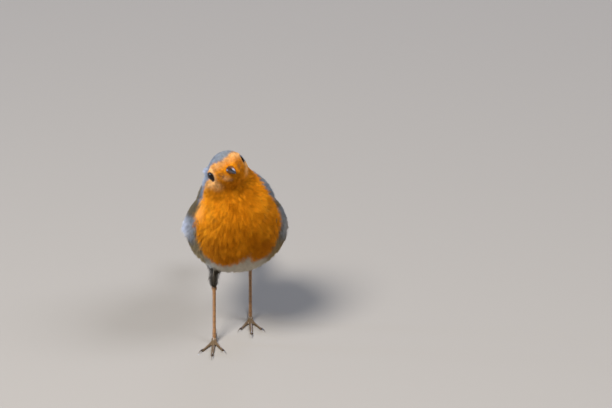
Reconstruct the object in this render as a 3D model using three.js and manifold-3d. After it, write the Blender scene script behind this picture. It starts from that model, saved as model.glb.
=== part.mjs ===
// A European robin, standing with its head cocked and looking up: a life-size model in millimetres.
// +X is the bird's left, -Y is ahead of it and +Z is up. The soles stand at Z 0, and the origin is
// under the middle of the bird. The solids reach out to the tips of the coat.
import * as THREE from "three";
import { mergeVertices } from "three/addons/utils/BufferGeometryUtils.js";
import Module from "manifold-3d";

const wasm = await Module();
wasm.setup();

// ---- Driving dimensions: millimetres, and degrees for every angle ----

const GAP = 0.3; // clear space between neighbouring pieces

// The trunk's axis rises towards the breast. Radii are half of width, length and depth.
const TRUNK = { centre: [1.7, 9.5, 57.4], radii: [22, 34, 20.4], yaw: 4, pitch: 36 };
const FLANKS = { centre: [0.7, 6, -4.5], radii: [22.2, 20, 11.5] };
const RUMP = { centre: [0, 24, 2.5], radii: [12, 15, 10] };
const COVERTS = { centre: [0, 5, -1.2], radii: [5.8, 16, 4] };
const NECK = { centre: [2.2, -3, 76.5], radii: [19.3, 15.5, 19], pitch: -8, lean: -19 };

// The head turns to the bird's left, looks up, and is cocked so that its left eye is the higher.
const HEAD = { centre: [-2.4, -12, 99.3], yaw: 13, pitch: 22, roll: 23.5 };
const CRANIUM = { centre: [0.9, 1.5, -0.5], radii: [9.4, 11.2, 8.9] };
const CHEEKS = { centre: [-1.6, 4, -3.8], radii: [11.3, 8.5, 7] };
const FACE = { centre: [0, -5, -1.1], radii: [6.6, 5.8, 5.4] };

const EYE = { radius: 3.4, outward: 6.35, ahead: 1.2, up: 0.2, bearing: 65, orbit: 6.5, orbitDepth: 1 };
const BILL = { length: 10.6, buried: 4, base: 9.6, up: -0.4, droop: 5, width: 4.8, depth: 4 };

const WING = { length: 70, start: -22, depth: 22, thickness: 2.7, edge: 0.55 };
const TAIL = { root: [-0.2, 33, 43], length: 50, yaw: 4, pitch: -17, width: 20, thickness: 1.3, notch: 3 };

const TARSUS = { length: 25.5, across: 0.85, deep: 1.1, heel: 1.45, ankle: 1.7 };
const LEGS = [
  { side: "right", foot: [-9, -0.8], lean: 22, heading: -3, thighTop: [-9.6, 2.5, 52] },
  { side: "left", foot: [8.5, 23], lean: 14, heading: 3, thighTop: [10.5, 7, 50] },
];

const SOLE = 0.2; // how much of a toe's underside is pressed flat
const TOES = [
  { name: "inner", length: 10.5, radius: 0.74, splay: 28, joints: 2, claw: 3.6 },
  { name: "middle", length: 15, radius: 0.8, splay: 0, joints: 3, claw: 4.2 },
  { name: "outer", length: 11.5, radius: 0.72, splay: -27, joints: 4, claw: 3.4 },
  { name: "hind", length: 8.5, radius: 0.84, splay: 180, joints: 1, claw: 5.6 },
];

// ---- Small helpers ----

const vector = (values) => new THREE.Vector3(...values);
const radians = THREE.MathUtils.degToRad;

// A frame at a centre, turned left by yaw, nose up by pitch, and left side up by roll.
function frameAt(centre, { yaw = 0, pitch = 0, roll = 0 }) {
  const turn = new THREE.Euler(radians(-pitch), radians(-roll), radians(yaw), "ZXY");
  const turned = new THREE.Quaternion().setFromEuler(turn);
  return new THREE.Matrix4().compose(vector(centre), turned, new THREE.Vector3(1, 1, 1));
}

// A smooth value between evenly spaced stations, for a share from 0 to 1.
function along(stations, share) {
  const curve = new THREE.SplineCurve(stations.map((value, i) => new THREE.Vector2(i, value)));
  return curve.getPoint(THREE.MathUtils.clamp(share, 0, 1)).y;
}

function smoothMin(values, softness) {
  const sum = values.reduce((total, value) => total + Math.exp(-value / softness), 0);
  return -softness * Math.log(sum);
}

// A three.js geometry as a closed solid with shared vertices.
function solidOf(geometry) {
  const bare = geometry.clone();
  bare.deleteAttribute("normal");
  bare.deleteAttribute("uv");
  const merged = mergeVertices(bare, 1e-4);
  const vertProperties = merged.attributes.position.array;
  const triVerts = new Uint32Array(merged.index.array);
  return new wasm.Manifold(new wasm.Mesh({ numProp: 3, vertProperties, triVerts }));
}

function geometryOf(solid) {
  const { vertProperties, triVerts } = solid.getMesh();
  const geometry = new THREE.BufferGeometry();
  geometry.setAttribute("position", new THREE.BufferAttribute(vertProperties, 3));
  geometry.setIndex(new THREE.BufferAttribute(triVerts, 1));
  geometry.computeVertexNormals();
  return geometry;
}

// Moves each vertex of a geometry to where the rule puts it.
function reshape(geometry, rule) {
  const position = geometry.attributes.position;
  const vertex = new THREE.Vector3();
  for (let i = 0; i < position.count; i += 1) {
    vertex.fromBufferAttribute(position, i);
    position.setXYZ(i, ...rule(vertex).toArray());
  }
  return geometry;
}

// A straight block that holds everything from a plane outwards, up to a depth.
function slab(point, normal, depth) {
  const wide = 300;
  const block = new THREE.BoxGeometry(wide, wide, depth);
  block.translate(0, 0, depth / 2);
  const turn = new THREE.Quaternion().setFromUnitVectors(new THREE.Vector3(0, 0, 1), normal);
  block.applyQuaternion(turn);
  block.translate(point.x, point.y, point.z);
  return solidOf(block);
}

function ball(centre, radius, columns = 16, rows = 12) {
  const geometry = new THREE.SphereGeometry(radius, columns, rows);
  geometry.translate(centre.x, centre.y, centre.z);
  return solidOf(geometry);
}

// A rod with round or oval sections along a curve. radii(share) gives its two half-widths: across
// the bird, and at right angles to that.
function rod(curve, radii, sides, steps) {
  const across = new THREE.Vector3(1, 0, 0);
  const bare = new THREE.CylinderGeometry(1, 1, 1, sides, steps);
  return solidOf(
    reshape(bare, (vertex) => {
      const share = 0.5 - vertex.y;
      const [wide, deep] = radii(share);
      const forward = curve.getTangent(share);
      const side = across.clone().addScaledVector(forward, -across.dot(forward)).normalize();
      const normal = new THREE.Vector3().crossVectors(forward, side);
      const place = curve.getPoint(share).addScaledVector(side, vertex.x * wide);
      return place.addScaledVector(normal, vertex.z * deep);
    }),
  );
}

// ---- The body's form: ellipsoids that flow into each other ----

const trunkFrame = frameAt(TRUNK.centre, TRUNK);
const neckFrame = frameAt(NECK.centre, { pitch: NECK.pitch, roll: NECK.lean });
const headFrame = frameAt(HEAD.centre, HEAD);
const tailFrame = frameAt(TAIL.root, { yaw: TAIL.yaw, pitch: -TAIL.pitch });

function mass(frame, { centre, radii }) {
  const middle = frame.clone().multiply(new THREE.Matrix4().makeTranslation(...centre));
  return { inverse: middle.invert(), radii: vector(radii) };
}

// About how far a point lies outside an ellipsoid.
function clearance({ inverse, radii }, point) {
  const local = point.clone().applyMatrix4(inverse).divide(radii);
  const reach = local.length();
  return (reach * (reach - 1)) / local.divide(radii).length();
}

const atCentre = { centre: [0, 0, 0] };
const bodyMasses = [
  mass(trunkFrame, { ...TRUNK, ...atCentre }),
  mass(trunkFrame, FLANKS),
  mass(trunkFrame, RUMP),
  mass(tailFrame, COVERTS),
  mass(neckFrame, { ...NECK, ...atCentre }),
];
const headMasses = [CRANIUM, CHEEKS, FACE].map((part) => mass(headFrame, part));

// About how far a point lies outside the whole body.
function outside(point) {
  const body = smoothMin(bodyMasses.map((part) => clearance(part, point)), 3);
  const head = smoothMin(headMasses.map((part) => clearance(part, point)), 1.2);
  return smoothMin([body, head], 2.5);
}

// How far from a centre the body's surface, or one grown by a level, lies along a direction.
function reachAlong(centre, direction, limit, level = 0) {
  let [inner, outer] = [0, 1];
  while (outer < limit && outside(centre.clone().addScaledVector(direction, outer)) < level) {
    inner = outer;
    outer += 1;
  }
  for (let step = 0; step < 14; step += 1) {
    const middle = (inner + outer) / 2;
    const isInside = outside(centre.clone().addScaledVector(direction, middle)) < level;
    [inner, outer] = isInside ? [middle, outer] : [inner, middle];
  }
  return Math.min(inner, limit);
}

// The body seen from one inner point, as far out as a limit.
function bulk(centre, limit, columns, rows, level = 0) {
  const bare = new THREE.SphereGeometry(1, columns, rows);
  return solidOf(
    reshape(bare, (vertex) => {
      const direction = vertex.clone().normalize();
      const reach = reachAlong(centre, direction, limit, level);
      return centre.clone().addScaledVector(direction, reach);
    }),
  );
}

const headCentre = new THREE.Vector3(0, 1, -2).applyMatrix4(headFrame);
const neckCentre = vector(NECK.centre);
const trunkCentre = vector(TRUNK.centre);

// Two flat cuts part the head from the neck and the neck from the trunk.
const neckAxis = headCentre.clone().sub(trunkCentre).normalize();
const headCut = headCentre.clone().addScaledVector(neckAxis, -8.5);
const trunkCut = headCentre.clone().addScaledVector(neckAxis, -23);
const backwards = neckAxis.clone().negate();

// An eye looks outwards and a little ahead, from a round socket in a shallow dish.
const eyes = [-1, 1].map((side) => {
  const local = new THREE.Vector3(side * EYE.outward, -EYE.ahead, EYE.up);
  const bearing = radians(EYE.bearing);
  const gaze = new THREE.Vector3(side * Math.sin(bearing), -Math.cos(bearing), 0);
  const rim = EYE.radius - EYE.orbitDepth + EYE.orbit;
  const dish = local.clone().addScaledVector(gaze, rim).applyMatrix4(headFrame);
  return { centre: local.applyMatrix4(headFrame), dish };
});

function headSolid() {
  const whole = bulk(headCentre, 26, 30, 20).intersect(slab(headCut, neckAxis, 60));
  return eyes.reduce((left, { centre, dish }) => {
    const socket = ball(centre, EYE.radius + GAP, 12, 8);
    return left.subtract(socket).subtract(ball(dish, EYE.orbit, 18, 12));
  }, whole);
}

function neckSolid() {
  const start = headCut.clone().addScaledVector(backwards, GAP);
  const depth = headCut.distanceTo(trunkCut) - GAP;
  return bulk(neckCentre, 40, 26, 17).intersect(slab(start, backwards, depth));
}

const grownTrunk = bulk(trunkCentre, 70, 48, 34, GAP);

function trunkSolid() {
  const start = trunkCut.clone().addScaledVector(backwards, GAP);
  return bulk(trunkCentre, 70, 34, 24).intersect(slab(start, backwards, 120));
}

// ---- The bill: an upper and a lower half with a flat gape between them ----

const grownHead = bulk(headCentre, 26, 40, 26, GAP);

function billHalf(isUpper) {
  const frame = headFrame.clone();
  frame.multiply(new THREE.Matrix4().makeTranslation(0, -BILL.base, BILL.up));
  frame.multiply(new THREE.Matrix4().makeRotationX(radians(BILL.droop)));
  const total = BILL.length + BILL.buried;
  const bare = new THREE.CylinderGeometry(1, 1, 1, 12, 8);
  const half = reshape(bare, (vertex) => {
    const share = 0.5 - vertex.y;
    const wide = (BILL.width / 2) * along([1, 1, 0.72, 0.44, 0.07], share);
    const deep = (BILL.depth / 2) * along([1.05, 1, 0.78, 0.5, 0.1], share);
    const hook = isUpper ? 0 : 0.03;
    const length = total * (1 - hook);
    const height = isUpper ? Math.max(vertex.z, 0) * 1.08 : Math.min(vertex.z, 0) * 0.92;
    const gape = isUpper ? GAP / 2 : -GAP / 2;
    const sag = -0.45 * share ** 4;
    const place = new THREE.Vector3(vertex.x * wide, BILL.buried - share * length, 0);
    place.z = gape + height * deep + sag;
    return place.applyMatrix4(frame);
  });
  return solidOf(half).subtract(grownHead);
}

// ---- The wings: folded, each a thin leaf laid over the flank ----

// A leaf is a flat box bent to shape. The wing's place is told by the share of its length and by
// its height up the flank, as an angle round the trunk's axis.
function wingSolid(side) {
  const leaf = new THREE.BoxGeometry(1, 1, 1, 8, 17, 1);
  const girth = TRUNK.radii[0];
  const axisPoint = new THREE.Vector3();
  const direction = new THREE.Vector3();
  const bent = reshape(leaf, (vertex) => {
    const share = vertex.y + 0.5;
    const across = -vertex.x * 2 * side;
    const halfDepth = (WING.depth / 2) * along([0.45, 0.92, 1, 0.93, 0.72, 0.5, 0.2], share);
    const middle = along([2.5, 3.5, 5, 8, 12, 16, 19], share);
    const angle = (middle + across * halfDepth) / girth;
    const sweep = share < 0.2 ? 2.5 * across * across * (1 - share / 0.2) : 0;
    const alongAxis = WING.start + share * WING.length + sweep;
    axisPoint.set(0, alongAxis, 0).applyMatrix4(trunkFrame);
    direction.set(side * Math.cos(angle), 0, Math.sin(angle)).transformDirection(trunkFrame);
    const onBody = reachAlong(axisPoint, direction, 40, GAP);
    const free = along([0, 12, 19, 21, 19.5, 15.5, 11.5], share);
    const crown = 1 - across * across;
    const lift = along([0.3, 0.8, 1, 1, 0.8, 0.5, 0.25], share);
    const thick = WING.edge + (WING.thickness - WING.edge) * crown * lift;
    const inner = Math.max(onBody, free);
    const reach = inner + (vertex.z > 0 ? thick : 0);
    return axisPoint.clone().addScaledVector(direction, reach);
  });
  return solidOf(bent);
}

// ---- The tail: a plate of closed feathers, a little arched and notched ----

function tailSolid() {
  const plate = new THREE.BoxGeometry(1, 1, 1, 6, 8, 1);
  const bent = reshape(plate, (vertex) => {
    const share = vertex.y + 0.5;
    const across = vertex.x * 2;
    const halfWidth = (TAIL.width / 2) * along([0.5, 0.58, 0.74, 0.92, 1], share);
    const length = TAIL.length - TAIL.notch * (1 - Math.abs(across));
    const thick = TAIL.thickness * along([1.6, 1.4, 1.1, 0.9, 0.7], share);
    const arch = -1.6 * across * across * along([1, 0.8, 0.5], share);
    const place = new THREE.Vector3(across * halfWidth, share * length, vertex.z * thick + arch);
    return place.applyMatrix4(tailFrame);
  });
  return solidOf(bent).subtract(grownTrunk);
}

// ---- The legs: feathered thigh, bare tarsus, four toes and their claws ----

function legPlaces({ foot, lean }) {
  const ankle = new THREE.Vector3(...foot, TARSUS.ankle);
  const back = new THREE.Vector3(0, Math.sin(radians(lean)), Math.cos(radians(lean)));
  const heel = ankle.clone().addScaledVector(back, TARSUS.length);
  return { ankle, heel };
}

function thighSolid(leg) {
  const { heel } = legPlaces(leg);
  const curve = new THREE.LineCurve3(heel, vector(leg.thighTop));
  const radii = (share) => {
    const radius = along([1.2, 1.9, 2.25, 2.9, 3.8, 4.4], share);
    return [radius, radius * 1.25];
  };
  const free = rod(curve, radii, 12, 10).subtract(grownTrunk);
  return free.subtract(ball(heel, TARSUS.heel + GAP, 10, 8));
}

function tarsusSolid(leg) {
  const { ankle, heel } = legPlaces(leg);
  const curve = new THREE.LineCurve3(heel, ankle);
  const radii = (share) => {
    const swell = along([1.15, 1.05, 1, 1, 1, 1, 1.1, 1.3], share);
    return [TARSUS.across * swell, TARSUS.deep * swell];
  };
  const shaft = rod(curve, radii, 10, 7).add(ball(heel, TARSUS.heel, 10, 7));
  return shaft.subtract(ball(ankle, TARSUS.ankle + GAP, 8, 6));
}

// Each toe runs out from under the ankle and along the floor, with a pad under each joint.
function toePath(leg, toe) {
  const mirror = leg.side === "left" ? -1 : 1;
  const bearing = radians(leg.heading + mirror * toe.splay);
  const ahead = new THREE.Vector3(Math.sin(bearing), -Math.cos(bearing), 0);
  const rest = toe.radius - SOLE;
  const at = (distance, height) => {
    const place = new THREE.Vector3(...leg.foot, height);
    return place.addScaledVector(ahead, distance);
  };
  const points = [
    at(0, TARSUS.ankle),
    at(2.2, 1.25),
    at(4.5, rest + 0.12),
    at(toe.length * 0.75, rest),
    at(toe.length, rest),
  ];
  return { points, at, rest };
}

function footSolid(leg) {
  const { ankle } = legPlaces(leg);
  const toes = TOES.map((toe) => {
    const curve = new THREE.CatmullRomCurve3(toePath(leg, toe).points);
    const radii = (share) => {
      const pads = 1 + 0.1 * Math.cos(2 * Math.PI * toe.joints * share);
      const radius = toe.radius * along([1.1, 1, 1, 0.95, 0.9], share) * pads;
      return [radius, radius];
    };
    return rod(curve, radii, 8, 6);
  });
  const joined = toes.reduce((sum, toe) => sum.add(toe), ball(ankle, 1.45, 10, 6));
  return joined.intersect(slab(new THREE.Vector3(), new THREE.Vector3(0, 0, 1), 60));
}

function clawSolid(leg, toe) {
  const { at, rest } = toePath(leg, toe);
  const start = toe.length + GAP;
  const curve = new THREE.CubicBezierCurve3(
    at(start, rest + 0.15),
    at(start + toe.claw * 0.4, rest + 0.75),
    at(start + toe.claw * 0.8, rest + 0.6),
    at(start + toe.claw, 0.16),
  );
  const radii = (share) => {
    const radius = toe.radius * along([0.66, 0.6, 0.46, 0.3, 0.14], share);
    return [radius * 0.8, radius];
  };
  return rod(curve, radii, 6, 6);
}

// ---- Materials and meshes ----

const material = (color, roughness) => {
  return new THREE.MeshStandardMaterial({ color, roughness, metalness: 0 });
};
const ORANGE_FEATHER = 0xc9781c;
const OLIVE_FEATHER = 0x7a6a50;
const THIGH_FEATHER = 0x4a3d2e;
const HORN = 0x3a3230;
const LEG_SCALE = 0x93705a;
const EYE_BLACK = 0x0c0a0b;

const robin = new THREE.Group();

function addMesh(name, solid, color, roughness) {
  const mesh = new THREE.Mesh(geometryOf(solid), material(color, roughness));
  mesh.name = name;
  robin.add(mesh);
}

addMesh("head", headSolid(), ORANGE_FEATHER, 0.9);
addMesh("neck", neckSolid(), ORANGE_FEATHER, 0.9);
addMesh("trunk", trunkSolid(), ORANGE_FEATHER, 0.9);
addMesh("bill_upper", billHalf(true), HORN, 0.4);
addMesh("bill_lower", billHalf(false), HORN, 0.4);
addMesh("eye_right", ball(eyes[0].centre, EYE.radius, 14, 9), EYE_BLACK, 0.05);
addMesh("eye_left", ball(eyes[1].centre, EYE.radius, 14, 9), EYE_BLACK, 0.05);
addMesh("wing_right", wingSolid(-1), OLIVE_FEATHER, 0.85);
addMesh("wing_left", wingSolid(1), OLIVE_FEATHER, 0.85);
addMesh("tail", tailSolid(), OLIVE_FEATHER, 0.85);
LEGS.forEach((leg) => {
  addMesh(`thigh_${leg.side}`, thighSolid(leg), THIGH_FEATHER, 0.9);
  addMesh(`tarsus_${leg.side}`, tarsusSolid(leg), LEG_SCALE, 0.6);
  addMesh(`foot_${leg.side}`, footSolid(leg), LEG_SCALE, 0.6);
  TOES.forEach((toe) => {
    addMesh(`claw_${leg.side}_${toe.name}`, clawSolid(leg, toe), HORN, 0.4);
  });
});

// The origin goes under the middle of the whole bird.
const middle = new THREE.Box3().setFromObject(robin).getCenter(new THREE.Vector3());
robin.position.set(-middle.x, -middle.y, 0);

export default robin;
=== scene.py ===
# %% [markdown]
# # A European robin
# This notebook builds the looks of a life-size European robin, a songbird of about 18 grams. It
# stands with folded wings and looks up with its head cocked, as a museum shows a mounted bird.
# The solid model under it gives every place and size. Here come its skin, its feathers, its scaly
# legs, its bill and its eyes. The first step loads that solid model, which is never changed.

# %% Load the solid model
import math

import bpy
import numpy as np
from mathutils import Matrix, Vector, noise
from mathutils.bvhtree import BVHTree
from mathutils.kdtree import KDTree


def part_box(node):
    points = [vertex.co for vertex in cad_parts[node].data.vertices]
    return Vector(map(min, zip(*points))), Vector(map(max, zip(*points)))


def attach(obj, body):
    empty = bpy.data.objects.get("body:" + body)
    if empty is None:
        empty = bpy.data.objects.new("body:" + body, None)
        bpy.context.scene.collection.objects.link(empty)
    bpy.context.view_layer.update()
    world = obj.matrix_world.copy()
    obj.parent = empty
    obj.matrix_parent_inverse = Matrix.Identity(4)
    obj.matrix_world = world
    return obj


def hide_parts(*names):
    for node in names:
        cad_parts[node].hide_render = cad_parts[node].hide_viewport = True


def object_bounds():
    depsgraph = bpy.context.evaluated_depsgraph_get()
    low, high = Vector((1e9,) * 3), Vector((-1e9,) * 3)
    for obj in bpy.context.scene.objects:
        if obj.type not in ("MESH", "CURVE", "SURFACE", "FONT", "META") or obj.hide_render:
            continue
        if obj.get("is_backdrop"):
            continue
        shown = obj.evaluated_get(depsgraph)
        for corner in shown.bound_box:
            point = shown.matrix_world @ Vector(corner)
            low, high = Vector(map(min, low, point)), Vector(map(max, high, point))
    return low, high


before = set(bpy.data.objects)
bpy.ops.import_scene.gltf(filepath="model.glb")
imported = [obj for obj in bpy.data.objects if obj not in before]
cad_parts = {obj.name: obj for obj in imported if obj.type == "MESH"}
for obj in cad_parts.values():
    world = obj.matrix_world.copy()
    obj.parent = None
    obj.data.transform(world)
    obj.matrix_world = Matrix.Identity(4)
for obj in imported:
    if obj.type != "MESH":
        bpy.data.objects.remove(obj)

MM = 0.001
cad_low, cad_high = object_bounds()
print("solid model, mm:", [round(v / MM, 1) for v in cad_high - cad_low])

# %% [markdown]
# ## Camera
# A long lens from far away keeps a small bird in proportion, where a short lens close to it would
# swell its breast. The camera stands in front, looks down at the bird by about 25 degrees, and
# leaves the bird to the left of the frame's middle.

# %% Camera
CAMERA_ELEVATION = math.radians(25)
CAMERA_DISTANCE = 2.517
VIEW_WIDTH = 0.3005
SENSOR_WIDTH = 36.0
AIM_FROM_CENTRE = Vector((34.3, 0, 9.1)) * MM

centre = (cad_low + cad_high) / 2
aim = centre + AIM_FROM_CENTRE
towards_camera = Vector((0, -math.cos(CAMERA_ELEVATION), math.sin(CAMERA_ELEVATION)))
camera_data = bpy.data.cameras.new("camera")
camera_data.sensor_width = SENSOR_WIDTH
camera_data.lens = SENSOR_WIDTH * CAMERA_DISTANCE / VIEW_WIDTH
camera = bpy.data.objects.new("camera", camera_data)
camera.location = aim + towards_camera * CAMERA_DISTANCE
camera.rotation_euler = (-towards_camera).to_track_quat("-Z", "Y").to_euler()
bpy.context.scene.collection.objects.link(camera)
bpy.context.scene.camera = camera
print("lens, mm:", round(camera_data.lens))

# %% [markdown]
# ## Helpers for colour and materials
# Colours are written as sRGB hex values, as a paint chart gives them, and a shader needs them
# linear, so one function turns them. A second one adds a shader node with its settings and links.

# %% Colour and material helpers


def linear(hex_value):
    """The linear colour of an sRGB hex value, with alpha 1."""
    channels = [(hex_value >> shift & 255) / 255 for shift in (16, 8, 0)]
    return (*[c / 12.92 if c <= 0.04045 else ((c + 0.055) / 1.055) ** 2.4 for c in channels], 1.0)


def add_node(material, kind, inputs=None, **settings):
    """A new node. Each input is a value for its socket, or another node's output to link to it."""
    node = material.node_tree.nodes.new(kind)
    for name, value in settings.items():
        setattr(node, name, value)
    for name, value in (inputs or {}).items():
        if isinstance(value, bpy.types.NodeSocket):
            material.node_tree.links.new(value, node.inputs[name])
        else:
            node.inputs[name].default_value = value
    return node


def new_material(name, **shader_inputs):
    """A material with a Principled shader, and that shader, its sockets set or linked."""
    material = bpy.data.materials.new(name)
    material.use_nodes = True
    material.node_tree.nodes.clear()
    output = add_node(material, "ShaderNodeOutputMaterial")
    shader = add_node(material, "ShaderNodeBsdfPrincipled")
    for name, value in shader_inputs.items():
        shader.inputs[name.replace("_", " ")].default_value = value
    material.node_tree.links.new(shader.outputs["BSDF"], output.inputs["Surface"])
    return material, shader


def link(material, output, node, socket):
    material.node_tree.links.new(output, node.inputs[socket])


# %% [markdown]
# ## Floor and light
# The stage is a plain, pale, matt floor with no edge in sight, so a very large disc does. The key
# light is a big soft panel, in front and high on the bird's right, like an open sky on one side. A
# weaker panel and a pale surround fill the shadows, so that feather detail shows on every side. A
# small panel low on the bird's right puts the spark in its eye. Another, low behind the bird,
# lights the top of the bill and the edges of the coat.

# %% Floor and light
FLOOR_RADIUS = 6.0
bpy.ops.mesh.primitive_circle_add(vertices=64, radius=FLOOR_RADIUS, fill_type="NGON")
floor = bpy.context.object
floor.name = "floor"
floor_material, _ = new_material(
    "matt_floor_paint", Base_Color=linear(0xA3A09C), Roughness=0.95, Specular_IOR_Level=0.2
)
floor.data.materials.append(floor_material)
floor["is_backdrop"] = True


def soft_panel(name, direction, distance, size, watts, colour):
    """A round panel of light that faces the bird from a direction."""
    data = bpy.data.lights.new(name, "AREA")
    data.shape = "DISK"
    data.size = size
    data.energy = watts
    data.color = linear(colour)[:3]
    panel = bpy.data.objects.new(name, data)
    panel.location = centre + Vector(direction).normalized() * distance
    panel.rotation_euler = Vector(direction).to_track_quat("Z", "Y").to_euler()
    bpy.context.scene.collection.objects.link(panel)


soft_panel("key_light", (-0.45, -0.72, 1.1), 1.7, 0.65, 39, 0xFFF8EF)
soft_panel("fill_light", (0.85, -0.3, 1.1), 1.8, 0.85, 15, 0xF4F6FF)
soft_panel("eye_light", (-1.0, 0.14, 0.07), 1.7, 0.25, 23, 0xB4D2FF)
soft_panel("rim_light", (0.12, 0.95, 0.22), 1.6, 0.55, 7, 0xE0E4FF)
world = bpy.data.worlds.new("studio")
bpy.context.scene.world = world
world.use_nodes = True
surround = world.node_tree.nodes["Background"].inputs
surround["Color"].default_value = linear(0xE9EEF4)
surround["Strength"].default_value = 0.13
bpy.context.scene.view_settings.view_transform = "Standard"

# %% [markdown]
# ## Landmarks on the bird
# Markings and feathers follow the body, so they need the body's own directions. The head's frame
# is found from the two eyes and the bill's tip. The trunk's frame follows the spine, which rises
# towards the neck. In both, X is the bird's left, Y its back and Z its top, counted in millimetres.

# %% Landmarks
BILL_LENGTH = 10.6
BILL_DROOP = math.radians(5.6)
GAZE_BEARING = math.radians(71)
SPINE_PITCH = math.radians(36)
SPINE_YAW = math.radians(4)
TRUNK_FROM_BOX = Vector((-0.24, -5.04, 0.52)) * MM


def box_centre(node):
    low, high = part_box(node)
    return (low + high) / 2


def rows_of(values, what):
    """Three numbers for each of a mesh's values, as rows of an array."""
    found = np.empty(len(values) * 3, np.float32)
    values.foreach_get(what, found)
    return found.reshape(-1, 3).astype(float)


def node_points(node):
    """Every corner of a CAD node's mesh."""
    return rows_of(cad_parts[node].data.vertices, "co")


def farthest(points, start):
    """The point that lies farthest from a start."""
    return Vector(points[np.argmax(np.linalg.norm(points - np.array(start), axis=1))])


def frame_matrix(origin, left, back, up):
    """Turns places in metres into a body frame's millimetres."""
    axes = Matrix((left, back, up)).transposed().to_4x4()
    return (Matrix.Translation(origin) @ axes @ Matrix.Scale(MM, 4)).inverted()


SIDES = {"left": 1, "right": -1}
eye_places = {side: box_centre("eye_" + side) for side in SIDES}
between_eyes = (eye_places["left"] + eye_places["right"]) / 2
bill_tip = farthest(node_points("bill_upper"), between_eyes)
head_left = (eye_places["left"] - eye_places["right"]).normalized()
along_bill = between_eyes - bill_tip
along_bill = (along_bill - head_left * along_bill.dot(head_left)).normalized()
above_bill = head_left.cross(along_bill)
head_back = along_bill * math.cos(BILL_DROOP) - above_bill * math.sin(BILL_DROOP)
head_up = head_left.cross(head_back)
into_head = frame_matrix(between_eyes, head_left, head_back, head_up)
out_of_head = into_head.inverted()
gazes = {
    side: head_left * sign * math.sin(GAZE_BEARING) - head_back * math.cos(GAZE_BEARING)
    for side, sign in SIDES.items()
}

spine_turn = Matrix.Rotation(SPINE_YAW, 3, "Z") @ Matrix.Rotation(-SPINE_PITCH, 3, "X")
trunk_centre = box_centre("trunk") + TRUNK_FROM_BOX
into_trunk = frame_matrix(trunk_centre, *spine_turn.transposed())
out_of_trunk = into_trunk.inverted()
bill_base = bill_tip + along_bill * BILL_LENGTH * MM
tail_root = farthest(node_points("tail"), farthest(node_points("tail"), trunk_centre))
heels = {}
for side in SIDES:
    shin = node_points("tarsus_" + side)
    heels[side] = Vector(shin[np.argmax(shin[:, 2])])


def moved(points, matrix):
    """An array of places, turned into or out of a body frame."""
    turn = np.array(matrix.to_3x3())
    return points @ turn.T + np.array(matrix.translation)


print("bill tip in the head's frame, mm:", [round(v, 1) for v in into_head @ bill_tip])

# %% [markdown]
# ## Helpers for meshes
# Blender's operators act on whatever is selected, so each piece is picked out alone first. Shapes
# that grew, such as a bird's, are easiest made by bending a simple mesh: a rule says where each of
# its points goes. Every finished piece is handed over in the same way: it gets its material, rides
# on the bird's one body and takes the place of its solids.

# %% Mesh helpers
MERGE_WITHIN = 0.005 * MM


def pick(piece):
    """Selects one object alone and makes it active."""
    if bpy.context.object and bpy.context.object.mode != "OBJECT":
        bpy.ops.object.mode_set(mode="OBJECT")
    bpy.ops.object.select_all(action="DESELECT")
    piece.select_set(True)
    bpy.context.view_layer.objects.active = piece
    return piece


def new_piece(name, mesh):
    piece = bpy.data.objects.new(name, mesh)
    bpy.context.scene.collection.objects.link(piece)
    return piece


def points_of(piece):
    return rows_of(piece.data.vertices, "co")


def normals_of(piece):
    return rows_of(piece.data.vertex_normals, "vector")


def move_points(piece, points):
    piece.data.vertices.foreach_set("co", np.ascontiguousarray(points, np.float32).ravel())
    piece.data.update()


def apply_modifier(piece, kind, **settings):
    """Adds a modifier and applies it."""
    pick(piece)
    modifier = piece.modifiers.new(kind.lower(), kind)
    for name, value in settings.items():
        setattr(modifier, name, value)
    bpy.ops.object.modifier_apply(modifier=modifier.name)


def edit_all(piece, operator, **settings):
    """Runs one of edit mode's operators on the whole of a piece."""
    pick(piece)
    bpy.ops.object.mode_set(mode="EDIT")
    bpy.ops.mesh.select_all(action="SELECT")
    operator(**settings)
    bpy.ops.object.mode_set(mode="OBJECT")


def join(pieces):
    """Joins the other pieces to the first, which keeps its name."""
    pick(pieces[0])
    for piece in pieces[1:]:
        piece.select_set(True)
    bpy.ops.object.join()
    return pieces[0]


def merged_copy(name, *nodes):
    """A copy of some CAD nodes as one mesh, its doubled corners merged."""
    copies = [new_piece(name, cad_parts[node].data.copy()) for node in nodes]
    for copy in copies:
        copy.data.materials.clear()
    piece = join(copies)
    piece.name = name
    edit_all(piece, bpy.ops.mesh.remove_doubles, threshold=MERGE_WITHIN)
    return piece


def hand_over(piece, material, slot, *nodes):
    """Gives a finished piece its material, its body, and the place of the solid model's nodes, which it
    hides. The slot is not used.
    """
    piece.data.materials.append(material)
    piece.data.shade_smooth()
    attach(piece, "root")
    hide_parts(*nodes)


print("points closer than this are merged, mm:", MERGE_WITHIN / MM)

# %% [markdown]
# ## Helpers for shapes
# The rules that bend a mesh work on all its points at once, as rows of an array. Most of them
# blend softly from one value to another, because nothing on a bird starts at a hard line.

# %% Shape helpers
def smooth_step(value, start, end):
    share = np.clip((value - start) / (end - start), 0, 1)
    return share * share * (3 - 2 * share)


def bump(values, middle, half):
    """1 at the middle, falling smoothly to 0 at a half-width each way."""
    return 1 - smooth_step(np.abs(values - middle), 0, half)


def unit(rows):
    """Rows of an array, each scaled to length 1."""
    return rows / np.maximum(np.linalg.norm(rows, axis=-1, keepdims=True), 1e-12)


def dot(first, second):
    return (first * second).sum(axis=-1, keepdims=True)


def speckle(points, size, seed=0.0):
    """Smooth noise from about -1 to 1 whose lumps are about one size across, in metres."""
    scaled = points / size + seed
    return np.array([noise.noise(row) for row in scaled.tolist()]) * 1.6


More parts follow.
